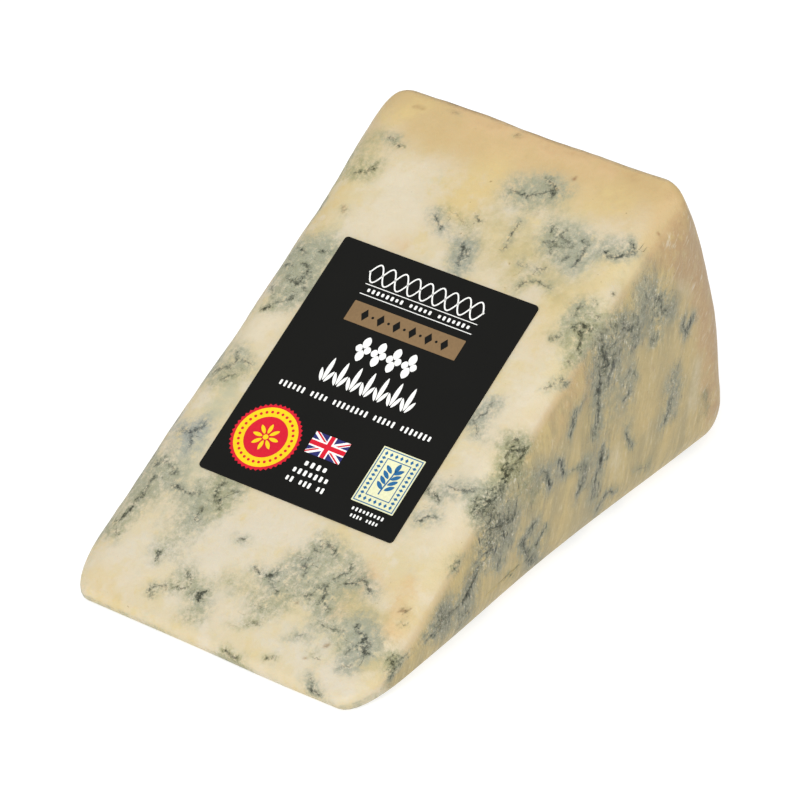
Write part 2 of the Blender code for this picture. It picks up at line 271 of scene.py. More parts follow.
# Veins on the labelled cut. Each: half width of its soft halo in mm, halo, crack, greenness, which is below 0
# where it is bluer, then its points in mm up the slope from the wheel's axis and across it.
CUT_VEINS = (
    (1.8, 0.45, 0.7, 0.3, (88.5, -1.5), (89.5, -5), (91.5, -8.5)),
    (1.6, 0.45, 0.9, 0.3, (92.5, -5.5), (92, -8.5), (90.5, -8.5)),
    (2.4, 0.45, 0.5, 0.3, (89.5, -4), (90, -6.5)),
    (1.2, 0.50, 1.0, 0.4, (86, -11.5), (85, -11.5)),
    (1.6, 0.45, 0.7, 0.3, (86.5, -14), (85.5, -13), (85, -13.5), (84.5, -15.5)),
    (1.5, 0.45, 0.5, 0.3, (82.5, -11), (83.5, -12.5), (84, -15.5)),
    (1.2, 0.35, 0.5, 0.3, (83.5, -12.5), (81.5, -13.5)),
    (1.8, 0.60, 0.9, 0.1, (85.5, -17), (85, -18), (83.5, -18), (81, -18)),
    (1.2, 0.45, 0.7, 0.2, (81.5, -15.5), (82.5, -16)),
    (1.1, 0.55, 1.0, 0.2, (84.5, -21), (84, -22.5), (85, -24), (86.5, -25.5), (87, -24)),
    (1.6, 0.40, 0.2, 0.1, (86, -21), (86, -23)),
    (1.0, 0.45, 0.9, 0.2, (84.5, -6), (82.5, -5.5), (81.5, -5.5)),
    (0.7, 0.30, 0.9, 0.3, (80.5, -6), (79.5, -6)),
    (0.8, 0.30, 0.8, 0.3, (83.5, 1), (83.5, 0)),
    (1.7, 0.75, 1.0, 0.0, (78.5, 0.5), (77, 0), (74.5, -0.5)),
    (1.2, 0.60, 0.9, 0.1, (77.8, -1.2), (76, -1.2)),
    (0.9, 0.40, 0.7, 0.2, (78.5, -9.5), (78, -11)),
    (0.6, 0.30, 0.8, 0.2, (78.5, -13), (78.5, -14)),
    (1.1, 0.45, 0.6, 0.4, (74, -11.5), (75, -12), (76, -12.5), (76.5, -14), (76.5, -16.5)),
    (1.3, 0.55, 0.7, 0.0, (72.5, -22.5), (74.5, -22.5), (75.5, -22.5)),
    (1.4, 0.70, 1.0, 0.7, (71, -23), (72, -24.5), (72.5, -26.5)),
    (2.6, 0.50, 0.3, 0.8, (74, -24), (70.5, -26), (73, -28)),
    (1.5, 0.60, 1.0, 0.7, (71.5, -24.5), (71, -26), (69, -26), (68.5, -26.5)),
    (0.8, 0.30, 0.7, 0.3, (69, -21), (69.5, -22)),
    (1.0, 0.45, 0.6, 1.0, (67, -25.5), (66.5, -26.5)),
    (0.9, 0.40, 0.7, 0.4, (61, -24.5), (62, -25.5)),
    (1.1, 0.50, 0.9, 0.4, (63, -26), (63.5, -27), (62.5, -27.5)),
    (0.5, 0.20, 0.8, 0.3, (77, -24), (76.5, -24.5)),
    (0.5, 0.20, 0.8, 0.3, (74.5, -26), (74, -26)),
    (0.5, 0.20, 0.8, 0.3, (79, -26), (78.5, -26.5)),
    (1.3, 0.60, 0.6, 0.0, (56, -19), (54.5, -19), (52.5, -17.5)),
    (1.3, 0.50, 0.6, 0.1, (52.5, -17.5), (52, -19), (50.5, -19.5)),
    (1.2, 0.65, 0.8, 0.3, (51, -24.5), (52, -25), (52, -26), (49.5, -27.5), (48, -29)),
    (1.0, 0.65, 0.8, 0.0, (50.5, -28), (51, -28.5)),
    (1.0, 0.45, 1.0, 0.9, (47, -26), (47.5, -27), (47.5, -28), (48, -29)),
    (1.1, 0.50, 1.0, 0.6, (47, -26), (45.5, -26.5), (44, -27), (43, -28)),
    (2.6, 0.45, 0.0, 1.0, (50, -26), (46, -28.5), (43.5, -30.5)),
    (0.8, 0.60, 1.0, 0.8, (43.5, -27.4), (45.5, -26.4), (48, -25.8), (50, -25.2)),
    (0.8, 0.55, 1.0, 0.9, (50.2, -25.4), (50.6, -26.8), (49.4, -28.2)),
    (0.8, 0.55, 1.0, 1.0, (45.4, -28.4), (47, -27.4), (48.4, -28.6)),
    (0.9, 0.60, 1.0, 0.5, (41.2, -24.8), (40, -25.8), (39, -26.8)),
    (0.9, 0.60, 1.0, 0.3, (43.2, -25.4), (42, -26.8), (41.6, -28.2)),
    (1.4, 0.55, 0.9, 0.9, (51.5, -27.5), (50.5, -29), (50, -30)),
    (1.3, 0.55, 0.9, 1.0, (46, -26.5), (47.5, -28), (47, -29.5)),
    (1.3, 0.55, 0.9, 0.6, (44.5, -27), (42, -28.5), (40, -29)),
    (1.2, 0.50, 0.8, 0.6, (41.5, -26), (40, -27), (38.5, -28.5)),
    (1.0, 0.40, 0.6, 0.8, (31.5, -27), (29.5, -28.5)),
    (1.1, 0.50, 0.9, 0.3, (40, -17), (39, -19), (38.5, -20)),
    (1.3, 0.60, 0.7, 0.0, (41, -20), (41.5, -22), (42.5, -23.5)),
    (0.9, 0.40, 1.0, 0.3, (42.5, -26), (42, -27), (41, -27)),
    (0.8, 0.40, 1.0, 0.5, (40, -25.5), (39, -26.5)),
    (1.2, 0.60, 0.8, 0.1, (34.5, -19), (35.5, -20), (35.5, -21.5)),
    (0.6, 0.40, 0.8, 1.0, (31, -27.5), (29, -28.5)),
    (0.6, 0.30, 0.7, 1.0, (31.5, -28.5), (30.5, -29)),
    (1.8, 0.55, 0.9, -0.4, (33.5, 24.5), (33.5, 22.5), (35.5, 21.5)),
    (1.3, 0.45, 0.9, -0.4, (33.5, 22), (31.5, 21.5)),
    (1.5, 0.55, 0.9, 0.3, (27, 25.5), (28.5, 24), (28, 21.5)),
    (1.1, 0.45, 0.8, 0.3, (27, 22), (27.5, 21)),
    (1.8, 0.65, 0.9, 0.3, (26, 24), (24.5, 24), (22.5, 24)),
    (1.8, 0.65, 1.0, 0.5, (22, 24), (20, 24), (18, 24.5), (16, 25.5)),
    (1.2, 0.40, 0.7, 0.5, (15, 24.5), (14.5, 23.5)),
    (1.3, 0.60, 0.9, 0.1, (25, 20.5), (25, 19), (25, 17.5), (25.5, 16)),
    (1.5, 0.60, 1.0, 0.7, (29, 13), (27.5, 14), (26.5, 13.5)),
    (1.6, 0.65, 1.0, 0.7, (25.5, 13.5), (25.5, 12.5), (26, 12), (24.5, 11.5)),
    (2.6, 0.45, 0.2, 0.3, (22.5, 14.5), (26, 14), (28.5, 12)),
    (1.2, 0.55, 0.7, 0.1, (23.5, 14), (22, 14), (21.5, 13)),
    (0.9, 0.40, 0.7, 0.3, (28, 11), (28, 10)),
    (0.9, 0.35, 0.9, 0.4, (14.5, 15.5), (13.5, 15.5)),
    (1.5, 0.55, 0.8, 0.4, (13.5, 10), (13, 9), (12.5, 8)),
    (0.9, 0.35, 0.7, 0.7, (11, 10), (11, 9.5), (11.5, 8)),
    (0.6, 0.30, 0.8, 0.5, (8.5, 13.5), (8, 12.5)),
    (0.9, 0.60, 1.0, 0.4, (11, 6.5), (10.5, 5.5), (10.5, 5)),
    (0.9, 0.50, 1.0, 0.4, (11, 6), (12, 5)),
    (1.8, 0.40, 0.0, 0.6, (15, 3.5), (14.5, 2), (14.5, 0.5)),
    (1.3, 0.45, 0.2, 0.2, (9.5, 5), (9, 3.5)),
    (0.8, 0.30, 0.3, 1.0, (9, -1), (9, -2.5)),
    (1.1, 0.50, 0.8, 0.9, (4.8, -2.8), (4.4, -4.6), (4.6, -5.8)),
    (0.8, 0.40, 0.7, 0.7, (9.6, -3.4), (10.2, -5.2)),
    (1.8, 0.40, 0.2, 0.6, (12.4, -3.6), (13.4, -6.2)),
    (1.6, 0.40, 0.3, 0.3, (16, -5.6), (17.2, -7.6)),
    (1.0, 0.40, 0.6, 0.4, (8.6, 13.4), (9.6, 12), (10.4, 11)),
    (2.2, 0.30, 0.0, 0.5, (19, 16.5), (18, 13)),
    (1.6, 0.35, 0.2, 0.3, (14.6, 16), (15.6, 14.6)),
    (1.4, 0.35, 0.3, 0.8, (7, 6.5), (7.6, 4.5)),
    (0.8, 0.40, 0.7, 0.9, (6.2, -9.8), (6.8, -11)),
    (1.0, 0.40, 0.6, 0.2, (21.5, 6), (22, 4)),
    (1.0, 0.45, 0.9, 0.2, (18, 0.5), (17.5, -1), (18, -2.5)),
    (1.1, 0.50, 0.9, 0.2, (18, -2.5), (19.5, -3.2)),
    (1.2, 0.50, 0.8, 0.2, (17, -3), (16.5, -5)),
    (1.3, 0.60, 0.8, 0.0, (20.5, -6), (21.5, -7), (20, -7.5)),
    (1.3, 0.45, 0.5, 0.3, (22, -4.5), (22, -5.8), (23, -7.5)),
    (1.7, 0.60, 0.9, 0.3, (26, -7), (26, -8.5), (25, -10)),
    (0.7, 0.40, 0.8, 0.3, (24.5, -6.5), (24.5, -7.5)),
    (1.4, 0.55, 0.8, 0.4, (21, -12.5), (22, -13), (22.5, -13.5), (24, -13.5)),
    (1.4, 0.60, 0.9, 0.2, (21, -14.5), (22, -15.5), (23, -16), (22.5, -17.5), (21.5, -18.5)),
    (1.4, 0.65, 1.0, 0.3, (20, -11.5), (18.5, -12), (17, -12)),
    (0.9, 0.45, 0.8, 0.3, (19, -10), (19, -11)),
    (0.8, 0.45, 0.9, 0.3, (17, -13), (16.5, -13.5)),
    (0.6, 0.35, 0.9, 0.3, (17.5, -9), (17.5, -10)),
    (1.5, 0.55, 0.7, 0.3, (14.5, -13.5), (14, -16), (14.5, -18)),
    (2.6, 0.30, 0.0, 0.6, (22, -8), (21, -12), (18, -15)),
    (1.2, 0.50, 0.4, 0.2, (10.5, -11.5), (11, -13)),
    (1.6, 0.65, 1.0, 0.1, (16, -20), (15, -21), (14.5, -22.5)),
    (1.6, 0.65, 1.0, 0.1, (14.5, -22.5), (13, -23), (13.5, -21.5)),
    (1.2, 0.50, 0.8, 0.2, (12, -20), (13, -20.5)),
    (1.2, 0.60, 0.6, 0.0, (10, -21), (10.5, -22.5)),
    (0.7, 0.30, 0.3, 1.0, (12.5, -17.5), (12.5, -18.5)),
    (1.0, 0.50, 0.6, 0.1, (6, -17.5), (5, -18.5)),
    (0.9, 0.50, 0.9, 0.3, (4.5, -18.5), (4, -19), (4, -20.5)),
    (1.2, 0.60, 1.0, 0.8, (14, -26.8), (13, -28), (12.4, -29.8)),
    (1.0, 0.55, 1.0, 0.8, (13.2, -28), (11, -28.8)),
    (0.9, 0.50, 0.9, 0.9, (14, -28), (14.4, -29.6)),
    (0.9, 0.35, 0.5, 0.9, (21, -24), (21, -25)),
    (0.7, 0.35, 0.6, 0.9, (19, -25), (19, -26)),
    (0.9, 0.40, 0.5, 0.4, (13.5, -2.5), (12.5, -4)),
    (1.6, 0.35, 0.0, 0.8, (16.5, -6.5), (15.5, -6.5)),
    (1.0, 0.35, 0.4, 1.0, (9.5, -15.5), (9.5, -17)),
    (2.8, 0.65, 0.0, 0.2, (61.5, 21), (65, 23), (69, 22)),
    (1.3, 0.50, 0.9, 0.4, (68, 24.5), (67.5, 23.5)),
    (1.3, 0.55, 0.9, 0.3, (68.5, 21.5), (69, 20)),
    (1.0, 0.45, 0.9, 0.4, (64.5, 25), (65, 24)),
    (1.7, 0.65, 1.0, 0.4, (66, 22.5), (65.5, 21), (64.5, 21), (63, 21.5), (62.5, 21.5)),
    (1.4, 0.60, 1.0, 0.4, (63, 23.5), (62.5, 21.5), (63, 20.5)),
    (1.2, 0.55, 1.0, 0.3, (64.5, 21), (64.5, 19.5)),
    (0.9, 0.45, 0.8, 0.3, (62.5, 20), (62, 19)),
    (1.3, 0.50, 0.8, 0.3, (58.5, 23), (59.5, 21.5), (60.5, 20.5)),
    (1.0, 0.45, 1.0, 0.8, (56, 24.5), (57.5, 23.5)),
    (0.6, 0.30, 0.8, 0.4, (60.5, 25), (60, 24.5)),
    (1.7, 0.55, 0.8, 0.2, (48.5, 23.5), (47, 22.5), (45.5, 23), (44, 25)),
    (1.1, 0.45, 0.8, 0.2, (47.5, 21.5), (47.5, 20)),
    (1.2, 0.45, 0.6, 0.8, (43, 23.5), (43.5, 22.5), (45, 21.5)),
    (1.2, 0.55, 0.7, 0.3, (90.5, 22), (90.5, 20.5)),
    (0.7, 0.40, 0.8, 0.8, (89.5, 19.5), (89.5, 18.5)),
    (1.5, 0.50, 0.8, 0.8, (83.5, 23.5), (84, 21.8), (85.6, 21)),
    (1.8, 0.35, 0.2, 0.9, (84, 24.5), (89, 24.5)),
    (1.2, 0.60, 0.8, 0.0, (81, 7.5), (79.5, 5)),
    (0.9, 0.35, 0.3, 0.9, (83, 6), (82.5, 4), (81.5, 1)),
    (0.9, 0.30, 0.5, 0.6, (76.5, 22), (76.5, 21)),
    (0.6, 0.30, 0.4, 1.0, (98, 3.5), (98.5, 2.5)),
    (0.6, 0.30, 0.3, 1.0, (98, 15.5), (98, 13.5)),
)

# Veins on the flat side at -Y: the same, with points in mm outwards from the wheel's axis and up.
SIDE_VEINS = (
    (2.6, 0.70, 0.70, 0.1, (62, 33), (66, 35.5), (69, 34)),
    (2.4, 0.75, 0.95, 0.1, (60.3, 37), (60.8, 33), (63, 31.5)),
    (1.6, 0.65, 0.95, 0.1, (60.5, 31.5), (60.2, 28), (60, 24), (60.2, 21)),
    (1.6, 0.60, 0.90, 0.1, (61.5, 31), (64.5, 30.5), (62, 28.5)),
    (1.5, 0.50, 0.60, 0.1, (65, 37), (68.5, 35)),
    (1.4, 0.45, 0.50, 0.1, (68, 33), (70.5, 32)),
    (2.4, 0.45, 0.10, 0.0, (71, 41), (73.5, 38)),
    (1.6, 0.60, 0.85, 0.1, (74, 37), (76.5, 35.5), (77, 33.5)),
    (1.8, 0.60, 0.60, 0.1, (77, 34), (79.5, 32)),
    (0.9, 0.45, 0.80, 0.2, (76, 29.3), (75.5, 28.3)),
    (2.0, 0.40, 0.20, 0.1, (73, 34), (75, 31)),
    (1.3, 0.60, 0.95, 0.1, (83, 28.5), (84, 26), (85.8, 27.8)),
    (0.9, 0.50, 0.80, 0.2, (74.6, 29.5), (75.8, 28.4)),
    (1.5, 0.65, 0.85, 0.1, (67, 22.5), (68.3, 22.3), (68.5, 23.5)),
    (1.2, 0.55, 0.85, 0.2, (67.8, 17), (68.5, 15.2), (69.7, 13.8)),
    (1.0, 0.45, 0.60, 0.2, (69.3, 28), (68, 26.5), (66.5, 26)),
    (0.9, 0.40, 0.50, 0.2, (69.5, 26.5), (70.5, 25.3)),
    (2.0, 0.30, 0.10, 0.2, (65, 27), (64, 23)),
    (1.6, 0.50, 0.55, 0.1, (80.8, 21), (80.5, 17.5)),
    (1.3, 0.50, 0.90, 0.1, (80.3, 16), (79.5, 13.5), (78.2, 12)),
    (1.6, 0.40, 0.20, 0.0, (82, 18), (81.5, 13)),
    (1.6, 0.35, 0.30, 0.7, (90, 12), (90.5, 9)),
    (1.0, 0.50, 0.85, 0.2, (54, 27.5), (54, 25.5), (53.2, 23.5)),
    (0.8, 0.40, 0.50, 0.2, (56, 28.5), (55, 26.8)),
    (1.6, 0.50, 0.50, 0.0, (45, 21.5), (47.5, 20.5)),
    (1.3, 0.50, 0.90, 0.0, (47, 19.8), (48.2, 17.8)),
    (1.2, 0.45, 0.90, 0.0, (50.2, 20.5), (51.6, 17.6)),
    (1.8, 0.50, 0.40, 0.8, (40, 23.5), (43.5, 18.5)),
    (1.8, 0.60, 0.60, 0.1, (31.5, 25), (33, 22.5), (34, 21)),
    (2.3, 0.70, 0.90, 0.1, (33, 21.5), (33.5, 18.5), (35, 17.5)),
    (2.3, 0.70, 0.85, 0.1, (35, 18), (38, 17.3)),
    (2.0, 0.65, 0.90, 0.1, (33.5, 17), (32.5, 14.5), (34.5, 13.5)),
    (1.5, 0.45, 0.60, 0.1, (35, 16), (37.5, 14.5)),
    (1.7, 0.55, 0.80, 0.1, (30.5, 15), (29, 12.5), (28, 11)),
    (1.8, 0.50, 0.60, 0.0, (27.5, 10.5), (25, 9), (22.5, 9.5)),
    (1.7, 0.50, 0.50, 0.0, (21.5, 11), (19.5, 10)),
    (1.5, 0.50, 0.80, 0.0, (17.5, 8.5), (19.5, 8)),
    (1.6, 0.50, 0.50, 0.1, (22, 8), (24, 6.5)),
    (1.3, 0.50, 0.60, 0.1, (27.5, 8), (28, 6.3)),
    (1.2, 0.45, 0.70, 0.2, (35.5, 12.5), (35.5, 11)),
    (1.2, 0.50, 0.80, 0.1, (40.5, 11.3), (42, 12.2), (44.5, 13.5)),
    (1.0, 0.50, 0.80, 0.1, (41, 11.5), (42, 9), (43, 7)),
    (2.4, 0.45, 0.20, 0.1, (43, 9), (45, 8)),
    (0.8, 0.45, 0.90, 0.3, (46.8, 11.2), (46, 10), (45, 9.4)),
    (0.9, 0.50, 0.90, 0.1, (44, 7), (45, 6.3)),
    (1.4, 0.55, 0.80, 0.1, (57.5, 16), (56.8, 14), (55.5, 12.5)),
    (1.0, 0.40, 0.40, 0.3, (53, 17), (56.5, 16.8)),
    (1.4, 0.60, 0.70, 0.1, (62, 17), (61.5, 15)),
    (1.3, 0.60, 0.80, 0.1, (61.5, 14.5), (60, 12), (59.8, 10)),
    (1.3, 0.50, 0.70, 0.1, (61, 6.8), (63, 8.2), (65.5, 7)),
    (0.8, 0.35, 0.40, 0.4, (71, 8.5), (74.5, 7.3)),
    (0.8, 0.40, 0.70, 0.8, (37.5, 8), (38.5, 6.8)),
)

# Soft patches of another tone, on the cut and on the flat side at -Y. Each: its reach in mm, its strength,
# then the two ends of its middle line in mm.
CUT_TONES = {
    "gold": (
        (4.5, 0.8, (85, 4), (91, 3)),
        (4.0, 0.6, (90, -9), (93, -18)),
        (3.0, 0.3, (79, 8), (85, 7)),
        (3.5, 0.4, (68, -19), (73, -18)),
        (3.5, 0.5, (76, -21), (84, -23)),
        (2.5, 0.3, (26, -26.5), (36, -26.5)),
        (2.5, 0.5, (5, 18), (8, 23)),
        (1.6, 0.2, (4.5, -24), (4.5, 20)),
        (3.0, 0.6, (18, -24.5), (21, -25.5)),
        (2.5, 0.6, (94, 24), (97, 20)),
        (2.5, 0.6, (71, 24), (82, 24.5)),
        (3.0, 0.4, (48, -24), (57, -25)),
    ),
    "peach": (
        (2.8, 0.6, (17.5, -24.5), (24, -23)),
        (2.5, 0.7, (17, -15.5), (24, -17)),
        (3.5, 0.4, (93, -12), (95, 10)),
        (2.0, 0.9, (98, -14), (99, 14)),
        (1.6, 0.4, (56, -28.8), (66, -28.8)),
        (2.5, 0.8, (87, -28.5), (95, -27)),
        (1.5, 0.5, (75, 9), (75, 15)),
    ),
    "brown": (
        (1.4, 0.35, (98.6, -18), (98.6, 2)),
        (1.4, 0.3, (99, 6), (99, 16)),
        (2.0, 0.3, (97, -26), (98.5, -20)),
    ),
    "olive": (
        (4.5, 0.6, (78, -1), (81, -11)),
        (3.0, 0.4, (84, 0), (84, -5)),
        (3.5, 0.5, (76, -11), (77, -17)),
        (2.5, 0.3, (75, -19), (76, -18)),
        (2.6, 0.8, (11, -24.5), (13, -27.5)),
        (2.6, 0.7, (17.5, -21), (20, -15)),
        (2.6, 0.5, (76, -27.8), (95, -28.4)),
        (2.0, 0.5, (86, 24), (91, 23.5)),
    ),
    "milk": (
        (4.5, 0.5, (9, -12), (13, 12)),
        (5.0, 0.6, (13, 21), (20, 10)),
        (5.0, 0.7, (20, 7), (25, 0)),
        (4.0, 0.7, (7, -22), (11, -15)),
        (3.5, 0.2, (27, 4), (27, -4)),
    ),
    "haze": (
        (4.5, 0.6, (86, -14), (82, -18)),
        # This strip beside the label's edge is partly vein haze and partly painted shadow of the label.
        (2.5, 0.7, (29, 21), (42, 21)),
        (3.5, 0.5, (22, 14), (27, 15)),
        (3.5, 0.5, (64, 22), (71, 21)),
        (3.5, 0.5, (90, -4), (92, -8)),
        (3.5, 0.4, (23, -9), (20, -13)),
        (4.0, 0.5, (12, -14), (14, -20)),
        (2.5, 0.35, (10, 7), (14, 2)),
        (3.5, 0.4, (24, 12), (28, 16)),
        (3.5, 0.5, (62, 22), (67, 22)),
        (3.0, 0.4, (44, -21), (41, -24)),
    ),
    "pale": (
        (4.5, 0.9, (76, 15), (84, 16)),
        (2.0, 0.5, (79, 10), (81, 9)),
        (4.0, 0.6, (46, -21), (60, -22)),
        (3.0, 0.8, (52, 23), (56, 22)),
        (3.0, 0.4, (63, -19), (65, -18)),
        (3.0, 0.6, (31, -22), (36, -23)),
        (2.0, 0.6, (85, -20), (87, -22)),
    ),
    "rust": (
        (0.45, 0.5, (98, 15.5), (98, 14.4)),
        (0.4, 0.55, (98.2, 3.2), (98, 2.6)),
        (0.35, 0.8, (93.2, -8.4), (93.4, -8.6)),
        (0.35, 0.7, (94.6, -9.6), (94.9, -9.9)),
        (0.5, 0.5, (96.5, 21), (96.9, 19.5)),
        (0.4, 0.8, (20.6, -23.6), (21, -24.6)),
        (0.35, 0.7, (18.8, -25.2), (19.6, -25.3)),
        (0.4, 0.6, (11.4, -16.4), (11.8, -16.8)),
        (0.35, 0.6, (8.4, -15.0), (8.6, -15.2)),
        (0.3, 0.7, (15.8, -8.1), (16.0, -8.4)),
        (0.4, 0.6, (76.4, 21.6), (76.7, 22.2)),
        (0.35, 0.4, (86.6, -7.4), (86.9, -7.6)),
        (0.3, 0.6, (90.2, -27.2), (90.4, -27.6)),
    ),
}
SIDE_TONES = {
    "gold": (
        (4.0, 0.8, (72.5, 28), (73.5, 17)),
        (3.5, 0.5, (81, 24), (86, 22)),
        (3.5, 0.5, (58, 14), (50, 8)),
        (2.5, 0.5, (80, 9), (84, 14)),
        (2.5, 0.5, (37, 12), (38, 8)),
        (3.0, 0.5, (62, 25), (64, 20)),
    ),
    "peach": (
        (3.6, 0.4, (54, 32), (49, 26)),
        (3.0, 0.35, (57, 32), (56, 28)),
        (3.5, 0.8, (88, 32), (91, 18)),
        (2.5, 0.6, (90, 14), (92, 8)),
    ),
    "brown": (
        (3.0, 0.45, (82, 40), (86, 39)),
        (4.5, 0.8, (80, 46), (86, 38)),
        (3.0, 0.5, (74, 44), (78, 40)),
        (3.5, 0.7, (87, 38), (91, 24)),
        (2.5, 0.7, (92.5, 20), (93, 7)),
    ),
    "haze": (
        (3.0, 0.4, (43, 16), (42, 9)),
        (3.5, 0.7, (67, 31), (68, 19)),
        (3.0, 0.4, (24, 9), (20, 8)),
        (2.6, 0.8, (37.5, 23), (44.5, 22.5)),
        (3.5, 0.6, (73, 42), (72, 36)),
        (3.0, 0.4, (55, 8), (58, 8)),
    ),
    "olive": (
        (3.0, 0.3, (74, 26), (74, 20)),
        (2.6, 0.5, (62, 26), (64, 20)),
        (3.0, 0.4, (72, 34), (74, 27)),
    ),
    "milk": ((2.0, 0.4, (80, 19), (82, 14)),),
    "pale": (
        (2.5, 0.5, (65, 14), (66, 11)),
        (2.0, 0.5, (87, 12), (87, 18)),
        (1.5, 0.5, (82, 36), (84, 33)),
        (3.0, 0.4, (34, 12), (36, 11)),
        # The last three patches are painted highlights: small white specks on the crumbs.
        (0.4, 0.8, (86.5, 38), (85, 35.5)),
        (0.3, 0.7, (84.6, 36.6), (84, 34.8)),
        (0.4, 0.7, (70.5, 31.6), (70.9, 31.2)),
    ),
    "rust": (
        (1.0, 0.5, (42.6, 20), (43.4, 18.5)),
        (0.8, 0.5, (68.4, 31.2), (69, 30.6)),
        (1.2, 0.5, (90.3, 12), (90.6, 9.5)),
        (0.5, 0.6, (57, 28.6), (57.4, 27.4)),
        (0.5, 0.5, (74.6, 24.8), (74.8, 24.2)),
        (0.6, 0.5, (24.5, 17.4), (24.8, 15.6)),
    ),
}

# The faces that nothing is drawn on by hand: two of their axes, two opposite corners in mm, how many veins.
HIDDEN_FACES = (
    ("rear", [0, 2], (10, 4), (92, 46), 64),
    ("base", [0, 1], (6, -26), (94, 26), 96),
)
HIDDEN_VEIN_LOOKS = ((0.9, 1.9), (0.4, 0.65), (0.5, 1.0), (0.0, 0.7))
HIDDEN_TONE_SHIFT = 4
HALO_SPREAD = 1.45
CORE_WIDTH = 0.65
CRACK_WIDTH = 0.8
CRACK_FAR = 3.0
CRACK_NEAR = 2.9
CRACK_END_FADE = (0.0, 0.25)
RIVAL_FADE = (0.03, 0.25)
TINY = 1e-6
VEIN_WANDER = ((0.0045, 0.0006), (0.0016, 0.0004))
SHARE_DEPTH = 0.0007
HALO_SHARE = (0.02, 0.40)
CRACK_SHARE = (0.30, 0.60)
SIDE_SHARE = (0.38, 0.64)
REAR_SHARE = (0.55, 0.90)
CRUST_BAND = (WHEEL_RADIUS - 0.0006, WHEEL_RADIUS - 0.0002)
MARGIN_BAND = (0.80 * WHEEL_RADIUS, WHEEL_RADIUS)
# Painted shade along the bottom edge fades in from 0.8 mm to 0.2 mm above the floor.
FOOT_SHADOW_BAND = (-0.0008, -0.0002)


def arc(centre, radius, start, end, count):
    """Points at equal angles along an arc, both ends included."""
    turn = np.linspace(start, end, count)
    return np.stack([centre[0] + radius * np.cos(turn), centre[1] + radius * np.sin(turn)], axis=1)


def corner_centre(radius, upper):
    """Centre and heading of a rounding between the rind and the lower cut, or the upper one."""
    along = math.sqrt((WHEEL_RADIUS - radius) ** 2 - radius**2)
    angle = math.atan2(radius, along)
    turned = SLICE_ANGLE - angle if upper else angle
    reach = math.hypot(along, radius)
    return np.array((reach * math.cos(turned), reach * math.sin(turned))), turned


def evenly(line, count):
    """A line's points moved to equal distances along it, count steps in all."""
    travelled = np.concatenate([[0.0], np.cumsum(np.linalg.norm(np.diff(line, axis=0), axis=1))])
    wanted = np.linspace(0.0, travelled[-1], count + 1)
    return np.stack([np.interp(wanted, travelled, line[:, axis]) for axis in (0, 1)], axis=1)


def slice_sides():
    """The slice's outline seen along the wheel's axis, as four lines end to end.

    The lower cut runs out from the tip, the rind climbs with a rounding at both ends, the upper cut runs
    back, and an arc goes round the tip.
    """
    half = SLICE_ANGLE / 2
    tip_reach = TIP_RADIUS / math.sin(half)
    tip = (tip_reach * math.cos(half), tip_reach * math.sin(half))
    lower, lower_angle = corner_centre(LOWER_RIND_RADIUS, False)
    upper, upper_angle = corner_centre(UPPER_RIND_RADIUS, True)
    quarter = math.pi / 2
    tip_side = arc(tip, TIP_RADIUS, quarter + SLICE_ANGLE, 3 * quarter, TIP_SAMPLES)
    rind_side = np.concatenate([
        arc(lower, LOWER_RIND_RADIUS, -quarter, lower_angle, LOWER_RIND_SAMPLES),
        arc((0.0, 0.0), WHEEL_RADIUS, lower_angle, upper_angle, RIND_SAMPLES),
        arc(upper, UPPER_RIND_RADIUS, upper_angle, SLICE_ANGLE + quarter, UPPER_RIND_SAMPLES),
    ])
    lower_cut = np.stack([tip_side[-1], rind_side[0]])
    upper_cut = np.stack([rind_side[-1], tip_side[0]])
    lines = (lower_cut, rind_side, upper_cut, tip_side)
    steps = (CUT_STEPS, RIND_STEPS, CUT_STEPS, RIND_STEPS)
    return [evenly(line, count) for line, count in zip(lines, steps)]


def band_sections():
    """Place along the wheel's axis and scale of each section of the band.

    It is straight, with a quarter circle at each rim.
    """
    straight_end = THICKNESS / 2 - RIM_RADIUS
    turn = np.linspace(0.0, math.pi / 2, RIM_STEPS + 1)
    rim_place = straight_end + RIM_RADIUS * np.sin(turn)
    rim_scale = 1 - RIM_RADIUS * (1 - np.cos(turn)) / inradius
    straight = np.linspace(-straight_end, straight_end, STRAIGHT_STEPS + 1)[1:-1]
    place = np.concatenate([-rim_place[::-1], straight, rim_place])
    scale = np.concatenate([rim_scale[::-1], np.ones(len(straight)), rim_scale])
    return place, scale


def flat_end(ring):
    """The flat side within a ring: a Coons patch, which blends the ring's four sides by two shares."""
    corners = np.cumsum([0, CUT_STEPS, RIND_STEPS, CUT_STEPS, RIND_STEPS])
    spans = zip(corners[:-1], corners[1:])
    lower, rind, upper, tip = [ring[np.arange(start, end + 1) % len(ring)] for start, end in spans]
    upper, tip = upper[::-1, None], tip[None, ::-1]
    lower, rind = lower[:, None], rind[None, :]
    out = np.linspace(0.0, 1.0, CUT_STEPS + 1)[:, None, None]
    up = np.linspace(0.0, 1.0, RIND_STEPS + 1)[None, :, None]
    straight = (1 - up) * lower + up * upper + (1 - out) * tip + out * rind
    at_tip = (1 - up) * lower[0] + up * upper[0]
    at_rind = (1 - up) * lower[-1] + up * upper[-1]
    return (straight - (1 - out) * at_tip - out * at_rind)[1:-1, 1:-1]


def quads(index):
    """The faces of a grid of vertex numbers, each turning from the first axis to the second."""
    corners = (index[:-1, :-1], index[1:, :-1], index[1:, 1:], index[:-1, 1:])
    return np.stack(corners, axis=-1).reshape(-1, 4)


